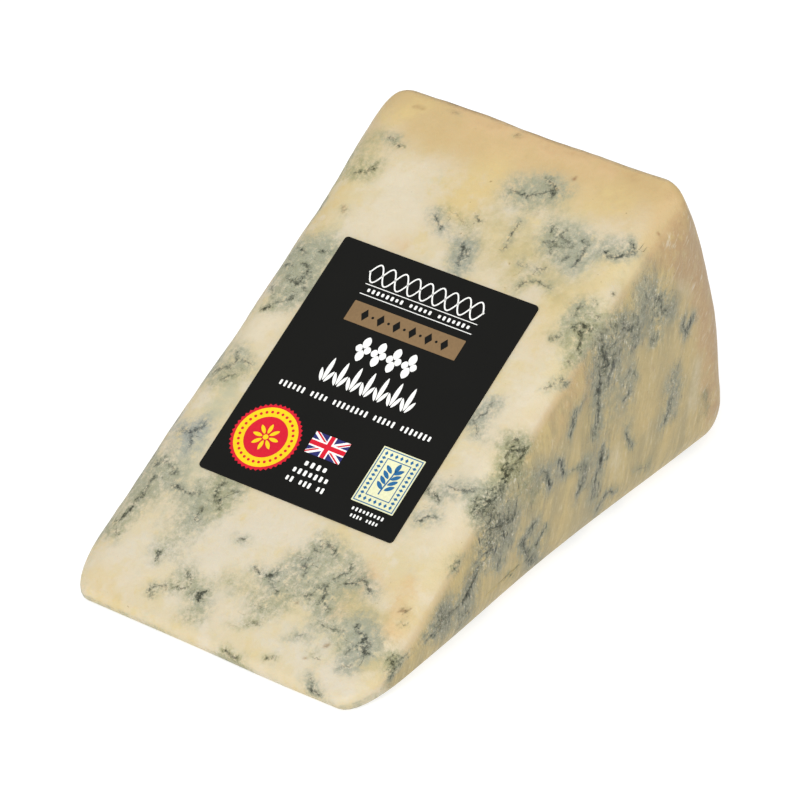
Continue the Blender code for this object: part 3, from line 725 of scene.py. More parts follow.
def end_index(ring, inside):
    """Vertex numbers of a flat side: the ring round the edge, the inner points within."""
    index = np.empty((CUT_STEPS + 1, RIND_STEPS + 1), dtype=int)
    index[1:-1, 1:-1] = inside.reshape(CUT_STEPS - 1, RIND_STEPS - 1)
    index[:, 0] = ring[: CUT_STEPS + 1]
    index[-1, :] = ring[CUT_STEPS : CUT_STEPS + RIND_STEPS + 1]
    index[:, -1] = ring[CUT_STEPS + RIND_STEPS : 2 * CUT_STEPS + RIND_STEPS + 1][::-1]
    index[0, 1:] = ring[2 * CUT_STEPS + RIND_STEPS :][::-1]
    return index


def slice_grid():
    """Points and faces of the slice: its outline carried along the wheel's axis, closed by two flat sides."""
    outline = np.concatenate([side[:-1] for side in slice_sides()])
    place, scale = band_sections()
    band = incentre + (outline[None] - incentre) * scale[:, None, None]
    band = np.stack([band[..., 0], np.repeat(place[:, None], len(outline), axis=1), band[..., 1]], axis=-1)
    ends = [flat_end(band[0]), flat_end(band[-1])]
    points = np.concatenate([part.reshape(-1, 3) for part in (band, *ends)])

    index = np.arange(band.shape[0] * band.shape[1]).reshape(band.shape[:2])
    inner = ends[0].shape[0] * ends[0].shape[1]
    near = index.size + np.arange(inner)
    around = np.concatenate([index, index[:, :1]], axis=1)
    faces = np.concatenate([
        quads(around),
        quads(end_index(index[0], near)),
        quads(end_index(index[-1], near + inner))[:, ::-1],
    ])
    return points, faces


def fade(value, limits):
    """Rises smoothly from 0 at the first limit to 1 at the second."""
    share = np.clip((value - limits[0]) / (limits[1] - limits[0]), 0.0, 1.0)
    return share * share * (3 - 2 * share)


def slope_coordinates(points):
    """Distance up the labelled cut from the wheel's axis, and height above that cut."""
    along = points[:, 0] * math.cos(SLICE_ANGLE) + points[:, 2] * math.sin(SLICE_ANGLE)
    above = points[:, 2] * math.cos(SLICE_ANGLE) - points[:, 0] * math.sin(SLICE_ANGLE)
    return along, above


def looseness(points):
    """1 where the surface may wander, 0 on the base and under the label."""
    along, above = slope_coordinates(points)
    past_end = np.abs(along - LABEL_UP_SLOPE) - LABEL_LENGTH / 2
    past_side = np.abs(points[:, 1] - LABEL_ACROSS) - LABEL_WIDTH / 2
    outside = np.hypot(np.maximum(past_end, 0.0), np.maximum(past_side, 0.0))
    label_fade = np.maximum(fade(outside, LABEL_FADE), fade(-above, LABEL_FADE))
    return label_fade * fade(points[:, 2], BASE_FADE)


def bow(points):
    """The points with both flat sides bowed in and the tip bowed out, which keeps the cuts flat."""
    bowed = points.copy()
    along = np.exp(-(((points[:, 0] - SIDE_BOW_MIDDLE) / SIDE_BOW_REACH) ** 2))
    for side, depth in SIDE_BOW_DEPTH.items():
        share = np.maximum(side * points[:, 1] / (THICKNESS / 2), 0.0)
        bowed[:, 1] -= side * depth * along * share**2
    across = np.exp(-(((points[:, 1] - TIP_BOW_MIDDLE) / TIP_BOW_REACH) ** 2))
    bowed[:, 0] -= TIP_BOW_DEPTH * across * np.exp(-points[:, 0] / TIP_BOW_LENGTH)
    return bowed


def unevenness(points):
    """Height of the hand-cut surface: crossing waves, summed, less the shallow dents."""
    height = np.zeros(len(points))
    for length, turn, tilt, phase in WAVES:
        flat = math.cos(tilt)
        direction = np.array((flat * math.cos(turn), flat * math.sin(turn), math.sin(tilt)))
        height += np.sin(points @ direction * (2 * math.pi / length) + phase)
    height *= WAVE_HEIGHT / len(WAVES)
    for centre, reach, deepest in DENTS:
        height -= deepest * np.exp(-((np.linalg.norm(points - centre, axis=1) / reach) ** 2))
    return height


def along_line(flat, start, end):
    """Distance of flat points from a straight line, signed by side, and the share of it passed, 0 to 1."""
    start = np.array(start, dtype=float)
    run = np.array(end) - start
    share = np.clip((flat - start) @ run / (run @ run), 0.0, 1.0)
    apart = flat - start - share[:, None] * run
    side = np.where(apart[:, 0] * run[1] - apart[:, 1] * run[0] < 0, -1.0, 1.0)
    return np.hypot(apart[:, 0], apart[:, 1]) * side, share


def furrow_depth(points):
    """Depth of the crumbled veins on the flat side at -Y, round in section."""
    depth = np.zeros(len(points))
    near_side = fade(-points[:, 1], (THICKNESS / 2 - RIM_RADIUS, THICKNESS / 2 - RIM_RADIUS / 4))
    for start, end, width, deepest in SIDE_FURROWS:
        distance, _ = along_line(points[:, [0, 2]], start, end)
        depth = np.maximum(depth, deepest * np.exp(-((distance / width) ** 2)) * near_side)
    return depth


def value_noise(points, size, seed):
    """Smooth random heights from -1 to 1: random values on a cubic lattice, blended between its corners."""
    lattice = np.random.default_rng(seed).uniform(-1.0, 1.0, (LATTICE, LATTICE, LATTICE))
    cell = np.floor(points / size)
    share = points / size - cell
    share = share * share * (3 - 2 * share)
    cell = cell.astype(int)
    height = np.zeros(len(points))
    for corner in np.ndindex(2, 2, 2):
        weight = np.prod(np.where(corner, share, 1 - share), axis=1)
        x, y, z = ((cell + corner) % LATTICE).T
        height += weight * lattice[x, y, z]
    return height


def on_plane(points, place, normal):
    """Where the line of sight from the camera through each point meets a flat plane."""
    sight = points - eye
    reach = ((place - eye) @ normal) / (sight @ normal)
    return eye + sight * reach[:, None]


def marble(flat, veins):
    """Fields of a face's veins at flat points in mm.

    The halo and the narrower core are the joined Gaussians of all veins. Greenness is their mean, weighted
    by halo. The crack's line is the signed distance to the vein that is strongest there, and its strength
    fades at the ends of that vein and where another vein is as strong.
    """
    clear = np.ones(len(flat))
    shallow = np.ones(len(flat))
    green = np.zeros(len(flat))
    weights = np.full(len(flat), TINY)
    line = np.full(len(flat), CRACK_FAR)
    strength = np.zeros(len(flat))
    best = np.full(len(flat), TINY)
    second = np.zeros(len(flat))
    for width, halo, crack, tint, *stops in veins:
        stops = np.array(stops, dtype=float)
        nearest = np.full(len(flat), np.inf)
        place = np.zeros(len(flat))
        for number, (start, end) in enumerate(zip(stops[:-1], stops[1:])):
            distance, share = along_line(flat, start, end)
            closer = np.abs(distance) < np.abs(nearest)
            nearest = np.where(closer, distance, nearest)
            place = np.where(closer, number + share, place)
        soft = np.exp(-((nearest / (HALO_SPREAD * width)) ** 2))
        clear *= 1 - halo * soft
        shallow *= 1 - crack * np.exp(-((nearest / CORE_WIDTH) ** 2))
        green += tint * halo * soft
        weights += halo * soft
        ends = fade(place, CRACK_END_FADE) * fade(len(stops) - 1 - place, CRACK_END_FADE)
        rank = crack * (0.3 + ends) * np.exp(-np.abs(nearest) / CRACK_WIDTH)
        line = np.where(rank > best, nearest, line)
        strength = np.where(rank > best, crack * ends, strength)
        second = np.maximum(second, np.minimum(rank, best))
        best = np.maximum(rank, best)
    strength *= fade(1 - second / best, RIVAL_FADE) * (np.abs(line) < CRACK_NEAR)
    return {
        "halo": 1 - clear,
        "core": 1 - shallow,
        "green": green / weights,
        "line": line,
        "strength": strength,
    }


def tone_field(flat, patches):
    """The joined Gaussians of a face's soft patches at flat points in mm."""
    clear = np.ones(len(flat))
    for reach, strength, start, end in patches:
        distance, _ = along_line(flat, start, end)
        clear *= 1 - strength * np.exp(-((distance / reach) ** 2))
    return 1 - clear


def scattered_veins(low, high, count, seed):
    """Veins like those that show, each with a haze, at seeded random places between two corners."""
    draw = np.random.default_rng(seed)
    veins = []
    for _ in range(count):
        start = draw.uniform(low, high)
        turn = draw.uniform(0, 2 * math.pi)
        middle = start + draw.uniform(1.5, 3.0) * np.array((math.cos(turn), math.sin(turn)))
        turn += draw.uniform(-0.9, 0.9)
        end = middle + draw.uniform(1.5, 4.0) * np.array((math.cos(turn), math.sin(turn)))
        width, halo, crack, tint = (draw.uniform(*span) for span in HIDDEN_VEIN_LOOKS)
        veins.append((width, halo, crack, tint, start, middle, end))
        veins.append((width * 1.7, 0.40, 0.3, tint, start, middle))
    return veins


def scattered_tones(low, high, seed):
    """Soft patches like those that show, at seeded random places between two corners."""
    draw = np.random.default_rng(seed)
    patches = {}
    for name, shown in CUT_TONES.items():
        starts = draw.uniform(low, high, (len(shown), 2))
        shift = min(HIDDEN_TONE_SHIFT, shown[0][0])
        ends = starts + draw.uniform(-1, 1, (len(shown), 2)) * shift
        patches[name] = [(old[0], old[1], start, end) for old, start, end in zip(shown, starts, ends)]
    return patches


def face_shares(points):
    """How far each point belongs to each face of the slice, by its depth below that face's plane."""
    _, above = slope_coordinates(points)
    depth = {
        "cut": -above,
        "side": THICKNESS / 2 + points[:, 1],
        "rear": THICKNESS / 2 - points[:, 1],
        "base": points[:, 2],
        "rind": WHEEL_RADIUS - np.hypot(points[:, 0], points[:, 2]),
    }
    closeness = {name: np.exp(-np.maximum(value, 0.0) / SHARE_DEPTH) for name, value in depth.items()}
    total = sum(closeness.values())
    return {name: value / total for name, value in closeness.items()}


def marbling(points, shares):
    """The vein and tone fields of every face, joined near its edges by how far each point belongs to it."""
    wander = np.zeros_like(points)
    for octave, (size, reach) in enumerate(VEIN_WANDER):
        for axis in range(3):
            wander[:, axis] += reach * value_noise(points, size, 10 * octave + axis)
    cut_normal = np.array((-math.sin(SLICE_ANGLE), 0.0, math.cos(SLICE_ANGLE)))
    side_place = np.array((0.0, -THICKNESS / 2, 0.0))
    on_cut = on_plane(points, np.zeros(3), cut_normal) + wander
    on_side = on_plane(points, side_place, np.array((0.0, -1.0, 0.0))) + wander
    along, _ = slope_coordinates(on_cut)
    rest = points + wander
    faces = {
        "cut": (np.stack([along, on_cut[:, 1]], axis=1), CUT_VEINS, CUT_TONES),
        "side": (on_side[:, [0, 2]], SIDE_VEINS, SIDE_TONES),
    }
    for face, axes, low, high, count in HIDDEN_FACES:
        veins = scattered_veins(low, high, count, len(faces))
        faces[face] = (rest[:, axes], veins, scattered_tones(low, high, len(faces) + 10))
    names = ("halo", "core", "green", "line", "strength", *CUT_TONES)
    blend = {name: np.zeros(len(points)) for name in names}
    for face, (flat, veins, tones) in faces.items():
        reach = fade(shares[face], HALO_SHARE)
        fields = marble(1000 * flat, veins)
        fields.update({name: tone_field(1000 * flat, patches) for name, patches in tones.items()})
        blend["green"] += shares[face] * fields.pop("green")
        strength = fields.pop("strength") * fade(shares[face], CRACK_SHARE)
        blend["line"] = np.where(strength > blend["strength"], fields.pop("line"), blend["line"])
        blend["strength"] = np.maximum(strength, blend["strength"])
        for name, values in fields.items():
            blend[name] = 1 - (1 - blend[name]) * (1 - reach * values)
    return blend


def stretched(paint, place, tilt, scale):
    """Places squeezed along each axis, so that a noise there is drawn out and leans by this many degrees."""
    values = {"Vector": place, "Rotation": (0.0, math.radians(tilt), 0.0), "Scale": scale}
    return paint.make("Mapping", {"vector_type": "TEXTURE"}, values)


def surface_readings(paint):
    """The mesh's fields, and the noises that the colours and the bump share, all as links by name."""
    place = in_millimetres(paint)
    at = SimpleNamespace(place=place)
    for name in (*MESH_FIELDS, *CUT_TONES):
        setattr(at, name, paint.make("Attribute", {"attribute_name": name}, output="Fac"))
    at.cloud = place.noise(0.11, 3.0, 0.55)
    at.patchy = place.noise(0.24, 4.0, 0.6)
    at.mottle = place.noise(0.40, 4.0, 0.6)
    at.grain = place.noise(1.0, 4.0, 0.65) - 0.5
    at.speck = place.noise(2.8, 3.0, 0.7) - 0.5
    at.crumb = stretched(paint, place, *CRUMB_STRETCH).noise(2.4, 4.0, 0.75) - 0.5
    round_fleck = place.noise(2.1, 4.0, 0.7) - 0.5
    at.fleck = round_fleck + (at.crumb - round_fleck) * at.side
    streaked = stretched(paint, place, *STREAK_STRETCH)
    at.streak = streaked.noise(0.38, 4.0, 0.6) - 0.5
    at.hair = (streaked.noise(2.4, 4.0, 0.7) - 0.5) * at.side
    # Noise for the painted highlight streaks near the rind.
    at.scratch = stretched(paint, place, *HIGHLIGHT_STREAK_STRETCH).noise(1.3, 4.0, 0.7)
    at.pit = at.fleck.step(0.08, 0.17)
    return at


def layered(colour, *layers):
    """A colour with others laid over it in turn. Each layer: its share, then its colour."""
    for share, over in layers:
        colour = share.between(colour, over)
    return colour


def paste_colour(at):
    """Cream on the cuts and tan on the flat sides, with patches, a darker margin, painted shade along the
    edge with the flat side, painted highlight streaks near the rind and spots.
    """
    patchy = at.patchy + at.grain * 0.15
    cream = layered(
        CREAM,
        (at.cloud.step(0.36, 0.66), YELLOW_CREAM),
        ((at.mottle + at.grain * 0.3).step(0.50, 0.78), GREY_CREAM),
        (patchy.step(0.52, 0.66) * 0.7, MILK),
        (patchy.step(0.46, 0.34) * 0.7, STRAW),
    )
    flat_side = (at.streak + at.hair * 0.5).step(-0.14, 0.14).between(SIDE_TAN, SIDE_GREY)
    margin = (at.out + (at.cloud - 0.5) * 0.7).step(0.05, 1.0)
    body = (margin * (1 - at.side * 0.5)).between(at.side.between(cream, flat_side), TAN_CREAM)
    uneven = 1 + (at.mottle - 0.5) * 2.4 + at.grain * 1.2 + at.streak * 1.5 * at.side
    for name, on_cut, on_side in TONE_COLOURS:
        patch = (getattr(at, name) * uneven).step(0.05, 0.95)
        body = (patch * 0.9).between(body, at.side.between(on_cut, on_side))
    combed = at.hair + at.crumb * at.side * 0.8
    # Painted highlights: pale diagonal streaks on the flat side near the rind.
    scratches = (at.scratch + at.mottle * 0.2).step(0.66, 0.78) * at.out * at.side
    spots = (at.place.noise(1.1, 2.0, 0.5) + at.speck * 0.2).step(0.735, 0.80) * (1 - at.milk)
    return layered(
        body,
        # Painted shade: a peach band along the rounded edge between the labelled cut and the flat side at -Y.
        (at.crease * 0.35, CREASE_SHADE_PEACH),
        (combed.step(0.03, 0.22) * 0.20, SIDE_SHADE),
        # Pale streaks of the combed texture, in the colour that the painted highlights also use.
        (combed.step(-0.05, -0.24) * 0.22, PALE_STREAK_AND_HIGHLIGHT),
        (scratches * 0.6, PALE_STREAK_AND_HIGHLIGHT),
        (spots * 0.6, SPOT_BROWN),
    )


def veined(at, body):
    """The paste's colour with the veins over it, painted highlights in the crumbled veins of the flat sides
    and painted shade along the bottom edge, and how hazy and how dark the veins make each place.
    """
    tinge = at.green * 0.8 + 0.25 + at.grain * 0.9
    drawn = (at.streak * 2.0 + at.hair * 1.8) * at.side
    hazy = at.halo * (1 + at.grain * 3.2 + at.fleck * 0.9 + at.speck * 0.9 + drawn) + at.core * at.side * 0.5
    drawn = (at.streak * 1.6 + at.hair * 2.0) * at.side
    broken = 0.80 + at.grain * 3.0 + at.fleck * (at.side * 3.0 + 2.4) + at.speck * 2.0 + drawn
    pitted = 0.72 + at.grain * 2.6 + at.fleck * 3.8 + at.speck * 2.0
    deep = (at.core * broken).step(0.20, 1.10).most((at.halo * at.side * pitted).step(0.72, 1.25) * 0.8)

    wander = (at.place.noise(1.3, 3.0, 0.65) - 0.5) * (1.5 - at.side * 0.7)
    width = at.strength * (at.place.noise(0.9, 3.0, 0.6) * 0.9 - 0.37)
    crack = (abs(at.line + wander) - width).step(0.12, -0.12) * at.strength.step(0.10, 0.40)
    dabs = (at.core * (0.84 + at.grain * 4.2 + at.fleck * 2.6 + at.speck * 1.4)).step(0.88, 1.30)
    dots = at.speck.step(0.13, 0.20) * at.halo.step(0.20, 0.75)
    strokes = (at.streak * 0.5 + at.hair + at.crumb * 0.6).step(0.11, 0.22) * at.halo.step(0.12, 0.55)
    dark = (crack * at.halo.step(0.04, 0.20) * 0.65).most(dabs * 0.95)
    dark = dark.most(dots * 0.4).most(strokes * at.side * 0.75)
    # Painted highlights: white specks in the vein halos on the flat sides, where moist crumbs would catch the
    # light.
    painted_glints = (at.speck * -1.0 - at.fleck * 0.8).step(0.10, 0.20) * at.halo.step(0.20, 0.70) * at.side
    body = layered(
        body,
        (hazy.step(0.04, 0.9) * 0.88, tinge.between(at.side.between(VEIN_BLUE, SIDE_VEIN_BLUE), VEIN_GREEN)),
        (deep * 0.74, tinge.between(DEEP_BLUE, DEEP_GREEN)),
        (dark * 0.80, tinge.between(CRACK_BLUE, CRACK_GREEN)),
        (painted_glints * 0.6, PALE_STREAK_AND_HIGHLIGHT),
        # Painted shade: a thin grey line along the bottom edge, where the slice meets the floor.
        (at.foot * 0.6, FOOT_SHADOW_GREY),
    )
    return body, hazy, dark


def crust_colour(at):
    """Dry brown rind with a paler, greyer bloom and small dark pits."""
    return layered(
        (at.mottle + at.grain * 0.6).step(0.35, 0.68).between(CRUST_DARK, CRUST_PALE),
        ((at.cloud + at.grain * 0.4).step(0.46, 0.64) * 0.6, CRUST_BLOOM),
        (at.pit * 0.6, CRUST_PIT),
    )


def cheese_material():
    """Moist veined paste, lumpy and crumbled in its veins, and a dry, rough crust on the round side."""
    material, paint = new_material("blue_cheese")
    at = surface_readings(paint)
    body, hazy, dark = veined(at, paste_colour(at))
    colour = at.crust.between(body, crust_colour(at))
    lumps = at.place.noise(0.8, 4.0, 0.6) * 0.14 + at.grain * 0.05
    lumps = lumps + at.streak * at.side * 0.10 + at.hair * 0.05
    crumbs = (at.fleck + at.speck * 0.6) * hazy * (0.22 + 0.50 * at.side) - dark * 0.10
    rough = at.place.noise(0.9, 4.0, 0.75) * 0.6 + at.place.noise(0.3, 3.0) * 0.8
    height = lumps + crumbs + (rough - at.pit * 0.12) * at.crust
    finish_material(paint, colour, 0.46 + at.mottle * 0.12 + at.crust * 0.3, height,
                    Specular_IOR_Level=0.35, Subsurface_Weight=0.12, Subsurface_Scale=0.0012,
                    Subsurface_Radius=(1.0, 0.6, 0.35))
    return material


def srgb(red, green, blue):
    """A colour as seen, from 0 to 255 each, as the linear values that shaders take."""
    seen = np.array((red, green, blue)) / 255
    linear = np.where(seen <= 0.04045, seen / 12.92, ((seen + 0.055) / 1.055) ** 2.4)
    return (*linear.tolist(), 1.0)


# Two of these fields carry painted shade: the band along the edge between the labelled cut and the flat side,
# and the foot along the bottom edge.
MESH_FIELDS = ("halo", "core", "green", "line", "strength", "side", "crust", "out", "crease", "foot")
CRUMB_STRETCH = (14.0, (1.0, 1.6, 2.6))
STREAK_STRETCH = (14.0, (1.1, 2.0, 7.0))
# Lean and stretch of the painted highlight streaks.
HIGHLIGHT_STREAK_STRETCH = (44.0, (0.9, 2.0, 4.5))
CREAM = srgb(201, 188, 160)
YELLOW_CREAM = srgb(198, 184, 146)
GREY_CREAM = srgb(190, 183, 156)
TAN_CREAM = srgb(190, 165, 117)
MILK = srgb(203, 193, 172)
STRAW = srgb(199, 182, 137)
SIDE_TAN = srgb(178, 160, 113)
SIDE_GREY = srgb(158, 145, 108)
SIDE_SHADE = srgb(138, 122, 88)
# The peach of the painted shade along the edge between the labelled cut and the flat side.
CREASE_SHADE_PEACH = srgb(186, 156, 116)
TONE_COLOURS = (  # name, colour on the cuts, colour on the flat sides
    ("gold", srgb(200, 178, 124), srgb(180, 160, 112)),
    ("peach", srgb(198, 170, 126), srgb(178, 151, 110)),
    ("haze", srgb(176, 172, 144), srgb(156, 146, 114)),
    ("olive", srgb(178, 164, 118), srgb(160, 146, 104)),
    ("milk", srgb(200, 191, 171), srgb(176, 166, 138)),
    ("pale", srgb(204, 193, 168), srgb(190, 178, 146)),
    ("brown", srgb(172, 138, 94), srgb(168, 140, 103)),
    ("rust", srgb(140, 104, 66), srgb(140, 118, 88)),
)
VEIN_BLUE = srgb(146, 151, 144)
SIDE_VEIN_BLUE = srgb(152, 153, 141)
VEIN_GREEN = srgb(153, 151, 112)
DEEP_BLUE = srgb(87, 93, 88)
DEEP_GREEN = srgb(80, 82, 52)
CRACK_BLUE = srgb(40, 46, 43)
CRACK_GREEN = srgb(38, 39, 22)
# Pale colour for the combed streaks and for the painted highlights.
PALE_STREAK_AND_HIGHLIGHT = srgb(208, 204, 188)
SPOT_BROWN = srgb(134, 112, 70)
# The grey of the painted shade along the bottom edge.
FOOT_SHADOW_GREY = srgb(112, 106, 94)
CRUST_DARK = srgb(132, 112, 90)
CRUST_PALE = srgb(168, 148, 120)
CRUST_BLOOM = srgb(184, 172, 150)
CRUST_PIT = srgb(92, 76, 60)

half_sine = math.sin(SLICE_ANGLE / 2)
inradius = WHEEL_RADIUS * half_sine / (1 + half_sine)
incentre = np.array((math.cos(SLICE_ANGLE / 2), half_sine)) * WHEEL_RADIUS / (1 + half_sine)

label_low, label_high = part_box("label")
label_centre = np.array((
    LABEL_UP_SLOPE * math.cos(SLICE_ANGLE) - LABEL_HEIGHT * math.sin(SLICE_ANGLE),
    LABEL_ACROSS,
    LABEL_UP_SLOPE * math.sin(SLICE_ANGLE) + LABEL_HEIGHT * math.cos(SLICE_ANGLE),
))
wheel_axis = (np.array(label_low) + np.array(label_high)) / 2 - label_centre
eye = np.array(camera.location) - wheel_axis

smooth_points, cheese_faces = slice_grid()
cheese_mesh = bpy.data.meshes.new("cheese_slice")
cheese_mesh.from_pydata(smooth_points, [], cheese_faces.tolist())
normals = np.empty(smooth_points.size)
cheese_mesh.vertex_normals.foreach_get("vector", normals)
normals = normals.reshape(-1, 3)

shares = face_shares(smooth_points)
lumps = sum(height * value_noise(smooth_points, size, seed) for height, size, seed in LUMPS)
relief = unevenness(smooth_points) - furrow_depth(smooth_points) + lumps
loose = looseness(smooth_points)
plain = bow(smooth_points) + normals * (loose * relief)[:, None]
fields = marbling(plain, shares)
crumble = fields["halo"] * np.abs(value_noise(smooth_points, CRUMB_SIZE, 31))
crumble *= CRUMB_DEPTH + SIDE_CRUMB_DEPTH * shares["side"]
moved = plain - normals * (loose * crumble)[:, None] + wheel_axis
cheese_mesh.vertices.foreach_set("co", moved.ravel())
cheese_mesh.update()
cheese_mesh.shade_smooth()

outward = np.hypot(smooth_points[:, 0], smooth_points[:, 2])
fields["side"] = fade(shares["side"], SIDE_SHARE) + fade(shares["rear"], REAR_SHARE)
# Painted shade: a band along the rounded edge where the labelled cut meets the flat side at -Y.
fields["crease"] = (4 * shares["cut"] * shares["side"]) ** 2
fields["crust"] = fade(outward, CRUST_BAND)
fields["out"] = fade(outward, MARGIN_BAND)
# foot: painted shade along the bottom edge, where the slice meets the floor.
fields["foot"] = fade(-smooth_points[:, 2], FOOT_SHADOW_BAND) * (1 - shares["base"])
for name, values in fields.items():
    attribute = cheese_mesh.attributes.new(name, "FLOAT", "POINT")
    attribute.data.foreach_set("value", values.astype(np.float32))
cheese_mesh.materials.append(cheese_material())
cheese = placed("cheese_slice", cheese_mesh)
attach(cheese, "root")
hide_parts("cheese")


# The label: a black paper label with a satin varnish, printed by offset and stuck flat on the upper cut.
LABEL_CORNER_RADIUS = 0.6
LABEL_TURN = math.radians(0.24)
LABEL_TOP = 0.32
LABEL_DEPTH = 0.42
MILLIMETRE = 0.001


def on_label(flat, height):
    """Flat points in mm on the label, to the right and up, laid on the upper cut at a height in mm."""
    turned_up = math.cos(LABEL_TURN) * flat[:, 1] + math.sin(LABEL_TURN) * flat[:, 0]
    turned_right = math.cos(LABEL_TURN) * flat[:, 0] - math.sin(LABEL_TURN) * flat[:, 1]
    along = LABEL_UP_SLOPE + turned_up * MILLIMETRE
    above = np.full(len(flat), height * MILLIMETRE)
    x = along * math.cos(SLICE_ANGLE) - above * math.sin(SLICE_ANGLE)
    z = along * math.sin(SLICE_ANGLE) + above * math.cos(SLICE_ANGLE)
    return np.stack([x, LABEL_ACROSS - turned_right * MILLIMETRE, z], axis=1) + wheel_axis


def flat_layer(name, outlines, top, depth, material):
    """A thin layer on the label: each closed outline becomes a prism with its top and depth in mm."""
    points, faces = [], []
    for outline in outlines:
        outline = np.asarray(outline, dtype=float)
        following = np.roll(outline, -1, axis=0)
        turns_right = np.sum(outline[:, 0] * following[:, 1] - following[:, 0] * outline[:, 1]) < 0
        if turns_right:
            outline = outline[::-1]
        upper = np.arange(len(outline)) + sum(len(ring) for ring in points)
        lower = upper + len(outline)
        points += [on_label(outline, top), on_label(outline, top - depth)]
        walls = np.stack([np.roll(upper, 1), np.roll(lower, 1), lower, upper], axis=1)
        faces += [upper.tolist(), lower[::-1].tolist(), *walls.tolist()]
    mesh = bpy.data.meshes.new(name)
    mesh.from_pydata(np.concatenate(points).tolist(), [], faces)
    mesh.materials.append(material)
    piece = placed(name, mesh)
    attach(piece, "root")
    return piece


def rounded_rectangle(centre, width, height, radius, count=3):
    """A rectangle's outline with an arc of this many points at each corner."""
    parts = []
    for turn, (across, up) in enumerate(((1, 1), (-1, 1), (-1, -1), (1, -1))):
        middle = (centre[0] + across * (width / 2 - radius), centre[1] + up * (height / 2 - radius))
        parts.append(arc(middle, radius, turn * math.pi / 2, (turn + 1) * math.pi / 2, count))
    return np.concatenate(parts)


def ink_material(name, colour, shine=0.42, gloss=0.3):
    """Printed paper under varnish: a faint fibre grain in its colour, gloss and surface."""
    material, paint = new_material(name)
    place = in_millimetres(paint)
    fibre = place.noise(2.6, 4.0, 0.65)
    shade = place.noise(0.12, 2.0)
    darker = tuple(0.86 * value for value in colour[:3]) + (1.0,)
    mixed = (fibre * 0.6 + shade * 0.4).step(0.35, 0.65).between(darker, colour)
    finish_material(paint, mixed, shine + fibre * 0.12, fibre * 0.012, Specular_IOR_Level=gloss)
    return material


label_size = (LABEL_WIDTH / MILLIMETRE, LABEL_LENGTH / MILLIMETRE)
label_outline = rounded_rectangle((0.0, 0.0), *label_size, LABEL_CORNER_RADIUS, 6)
black_ink = ink_material("black_label_paper", srgb(19, 19, 17), 0.5, 0.1)
label = flat_layer("label_sheet", [label_outline], LABEL_TOP, LABEL_DEPTH, black_ink)
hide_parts("label")


# The head of the print: a white plait of two waves with a bead on each crossing, then two hairlines with
# small marks between them. White ink on black.
INK_HEIGHT = 0.02
PLAIT_MIDDLE = (-0.2, 17.4)
PLAIT_WIDTH = 20.6
PLAIT_HEIGHT = 3.2
PLAIT_WAVES = 4.5
PLAIT_LINE = 0.24
PLAIT_BEAD = 0.2
HAIRLINES = (15.33, 13.56)
HAIRLINE_MIDDLE = 0.1
HAIRLINE_SIZE = (20.4, 0.13)
BEAD_GROUPS = (8, 5, 7)
BEAD_ENDS = (-9.4, 9.6)


def printed(name, outlines, ink, level=1, layers=2):
    """A layer of ink on the label. Its top above the paper and its thickness are in ink heights."""
    return flat_layer(name, outlines, LABEL_TOP + level * INK_HEIGHT, layers * INK_HEIGHT, ink)


def strip(line, width):
    """The outline of a band of even width round a flat line."""
    step = np.gradient(line, axis=0)
    sideways = np.stack([-step[:, 1], step[:, 0]], axis=1) / np.linalg.norm(step, axis=1)[:, None]
    return np.concatenate([line + sideways * width / 2, (line - sideways * width / 2)[::-1]])


def circle(centre, radius, count=20):
    """A round outline."""
    return arc(centre, radius, 0.0, 2 * math.pi, count + 1)[:-1]


def mark_row(groups, ends, middle, height, weight):
    """A row of upright marks in groups, evenly spaced between two ends. Every third mark is shorter."""
    slots = sum(groups) + len(groups) - 1
    pitch = (ends[1] - ends[0]) / slots
    width = pitch * weight
    marks = []
    place = 0.5
    for group in groups:
        for number in range(group):
            tall = height if number % 3 else 0.8 * height
            marks.append(rounded_rectangle((ends[0] + pitch * place, middle), width, tall, width * 0.3))
            place += 1
        place += 1
    return marks


white_ink = ink_material("white_ink", srgb(246, 246, 242))
sweep = np.linspace(-0.5, 0.5, 91)
head = []
for sign in (-1, 1):
    height = sign * PLAIT_HEIGHT / 2 * np.cos(2 * math.pi * PLAIT_WAVES * sweep)
    plait = np.stack([PLAIT_MIDDLE[0] + PLAIT_WIDTH * sweep, PLAIT_MIDDLE[1] + height], axis=1)
    head.append(strip(plait, PLAIT_LINE))
for number in range(round(2 * PLAIT_WAVES) + 1):
    share = number / PLAIT_WAVES / 2 - 0.5
    head.append(circle((PLAIT_MIDDLE[0] + PLAIT_WIDTH * share, PLAIT_MIDDLE[1]), PLAIT_BEAD))
for height in HAIRLINES:
    head.append(rounded_rectangle((HAIRLINE_MIDDLE, height), *HAIRLINE_SIZE, 0.04))
head += mark_row(BEAD_GROUPS, BEAD_ENDS, sum(HAIRLINES) / 2, 0.72, 0.5)
printed("head_print", head, white_ink)


# The bronze band under the head: a field of bronze ink with black lozenges and dots printed on it.
BAND_MIDDLE = (0.08, 10.45)
BAND_SIZE = (20.2, 3.62)
LOZENGES = 6
LOZENGE_PITCH = 2.9
LOZENGE_SIZE = (1.3, 2.1)
BAND_DOT = 0.22


def lozenge(centre, width, height):
    """A diamond outline."""
    corners = np.array(((1, 0), (0, 1), (-1, 0), (0, -1)))
    return np.array(centre) + corners * (width / 2, height / 2)


def spread(count, pitch):
    """Places at an even pitch, centred on 0."""
    return (np.arange(count) - (count - 1) / 2) * pitch


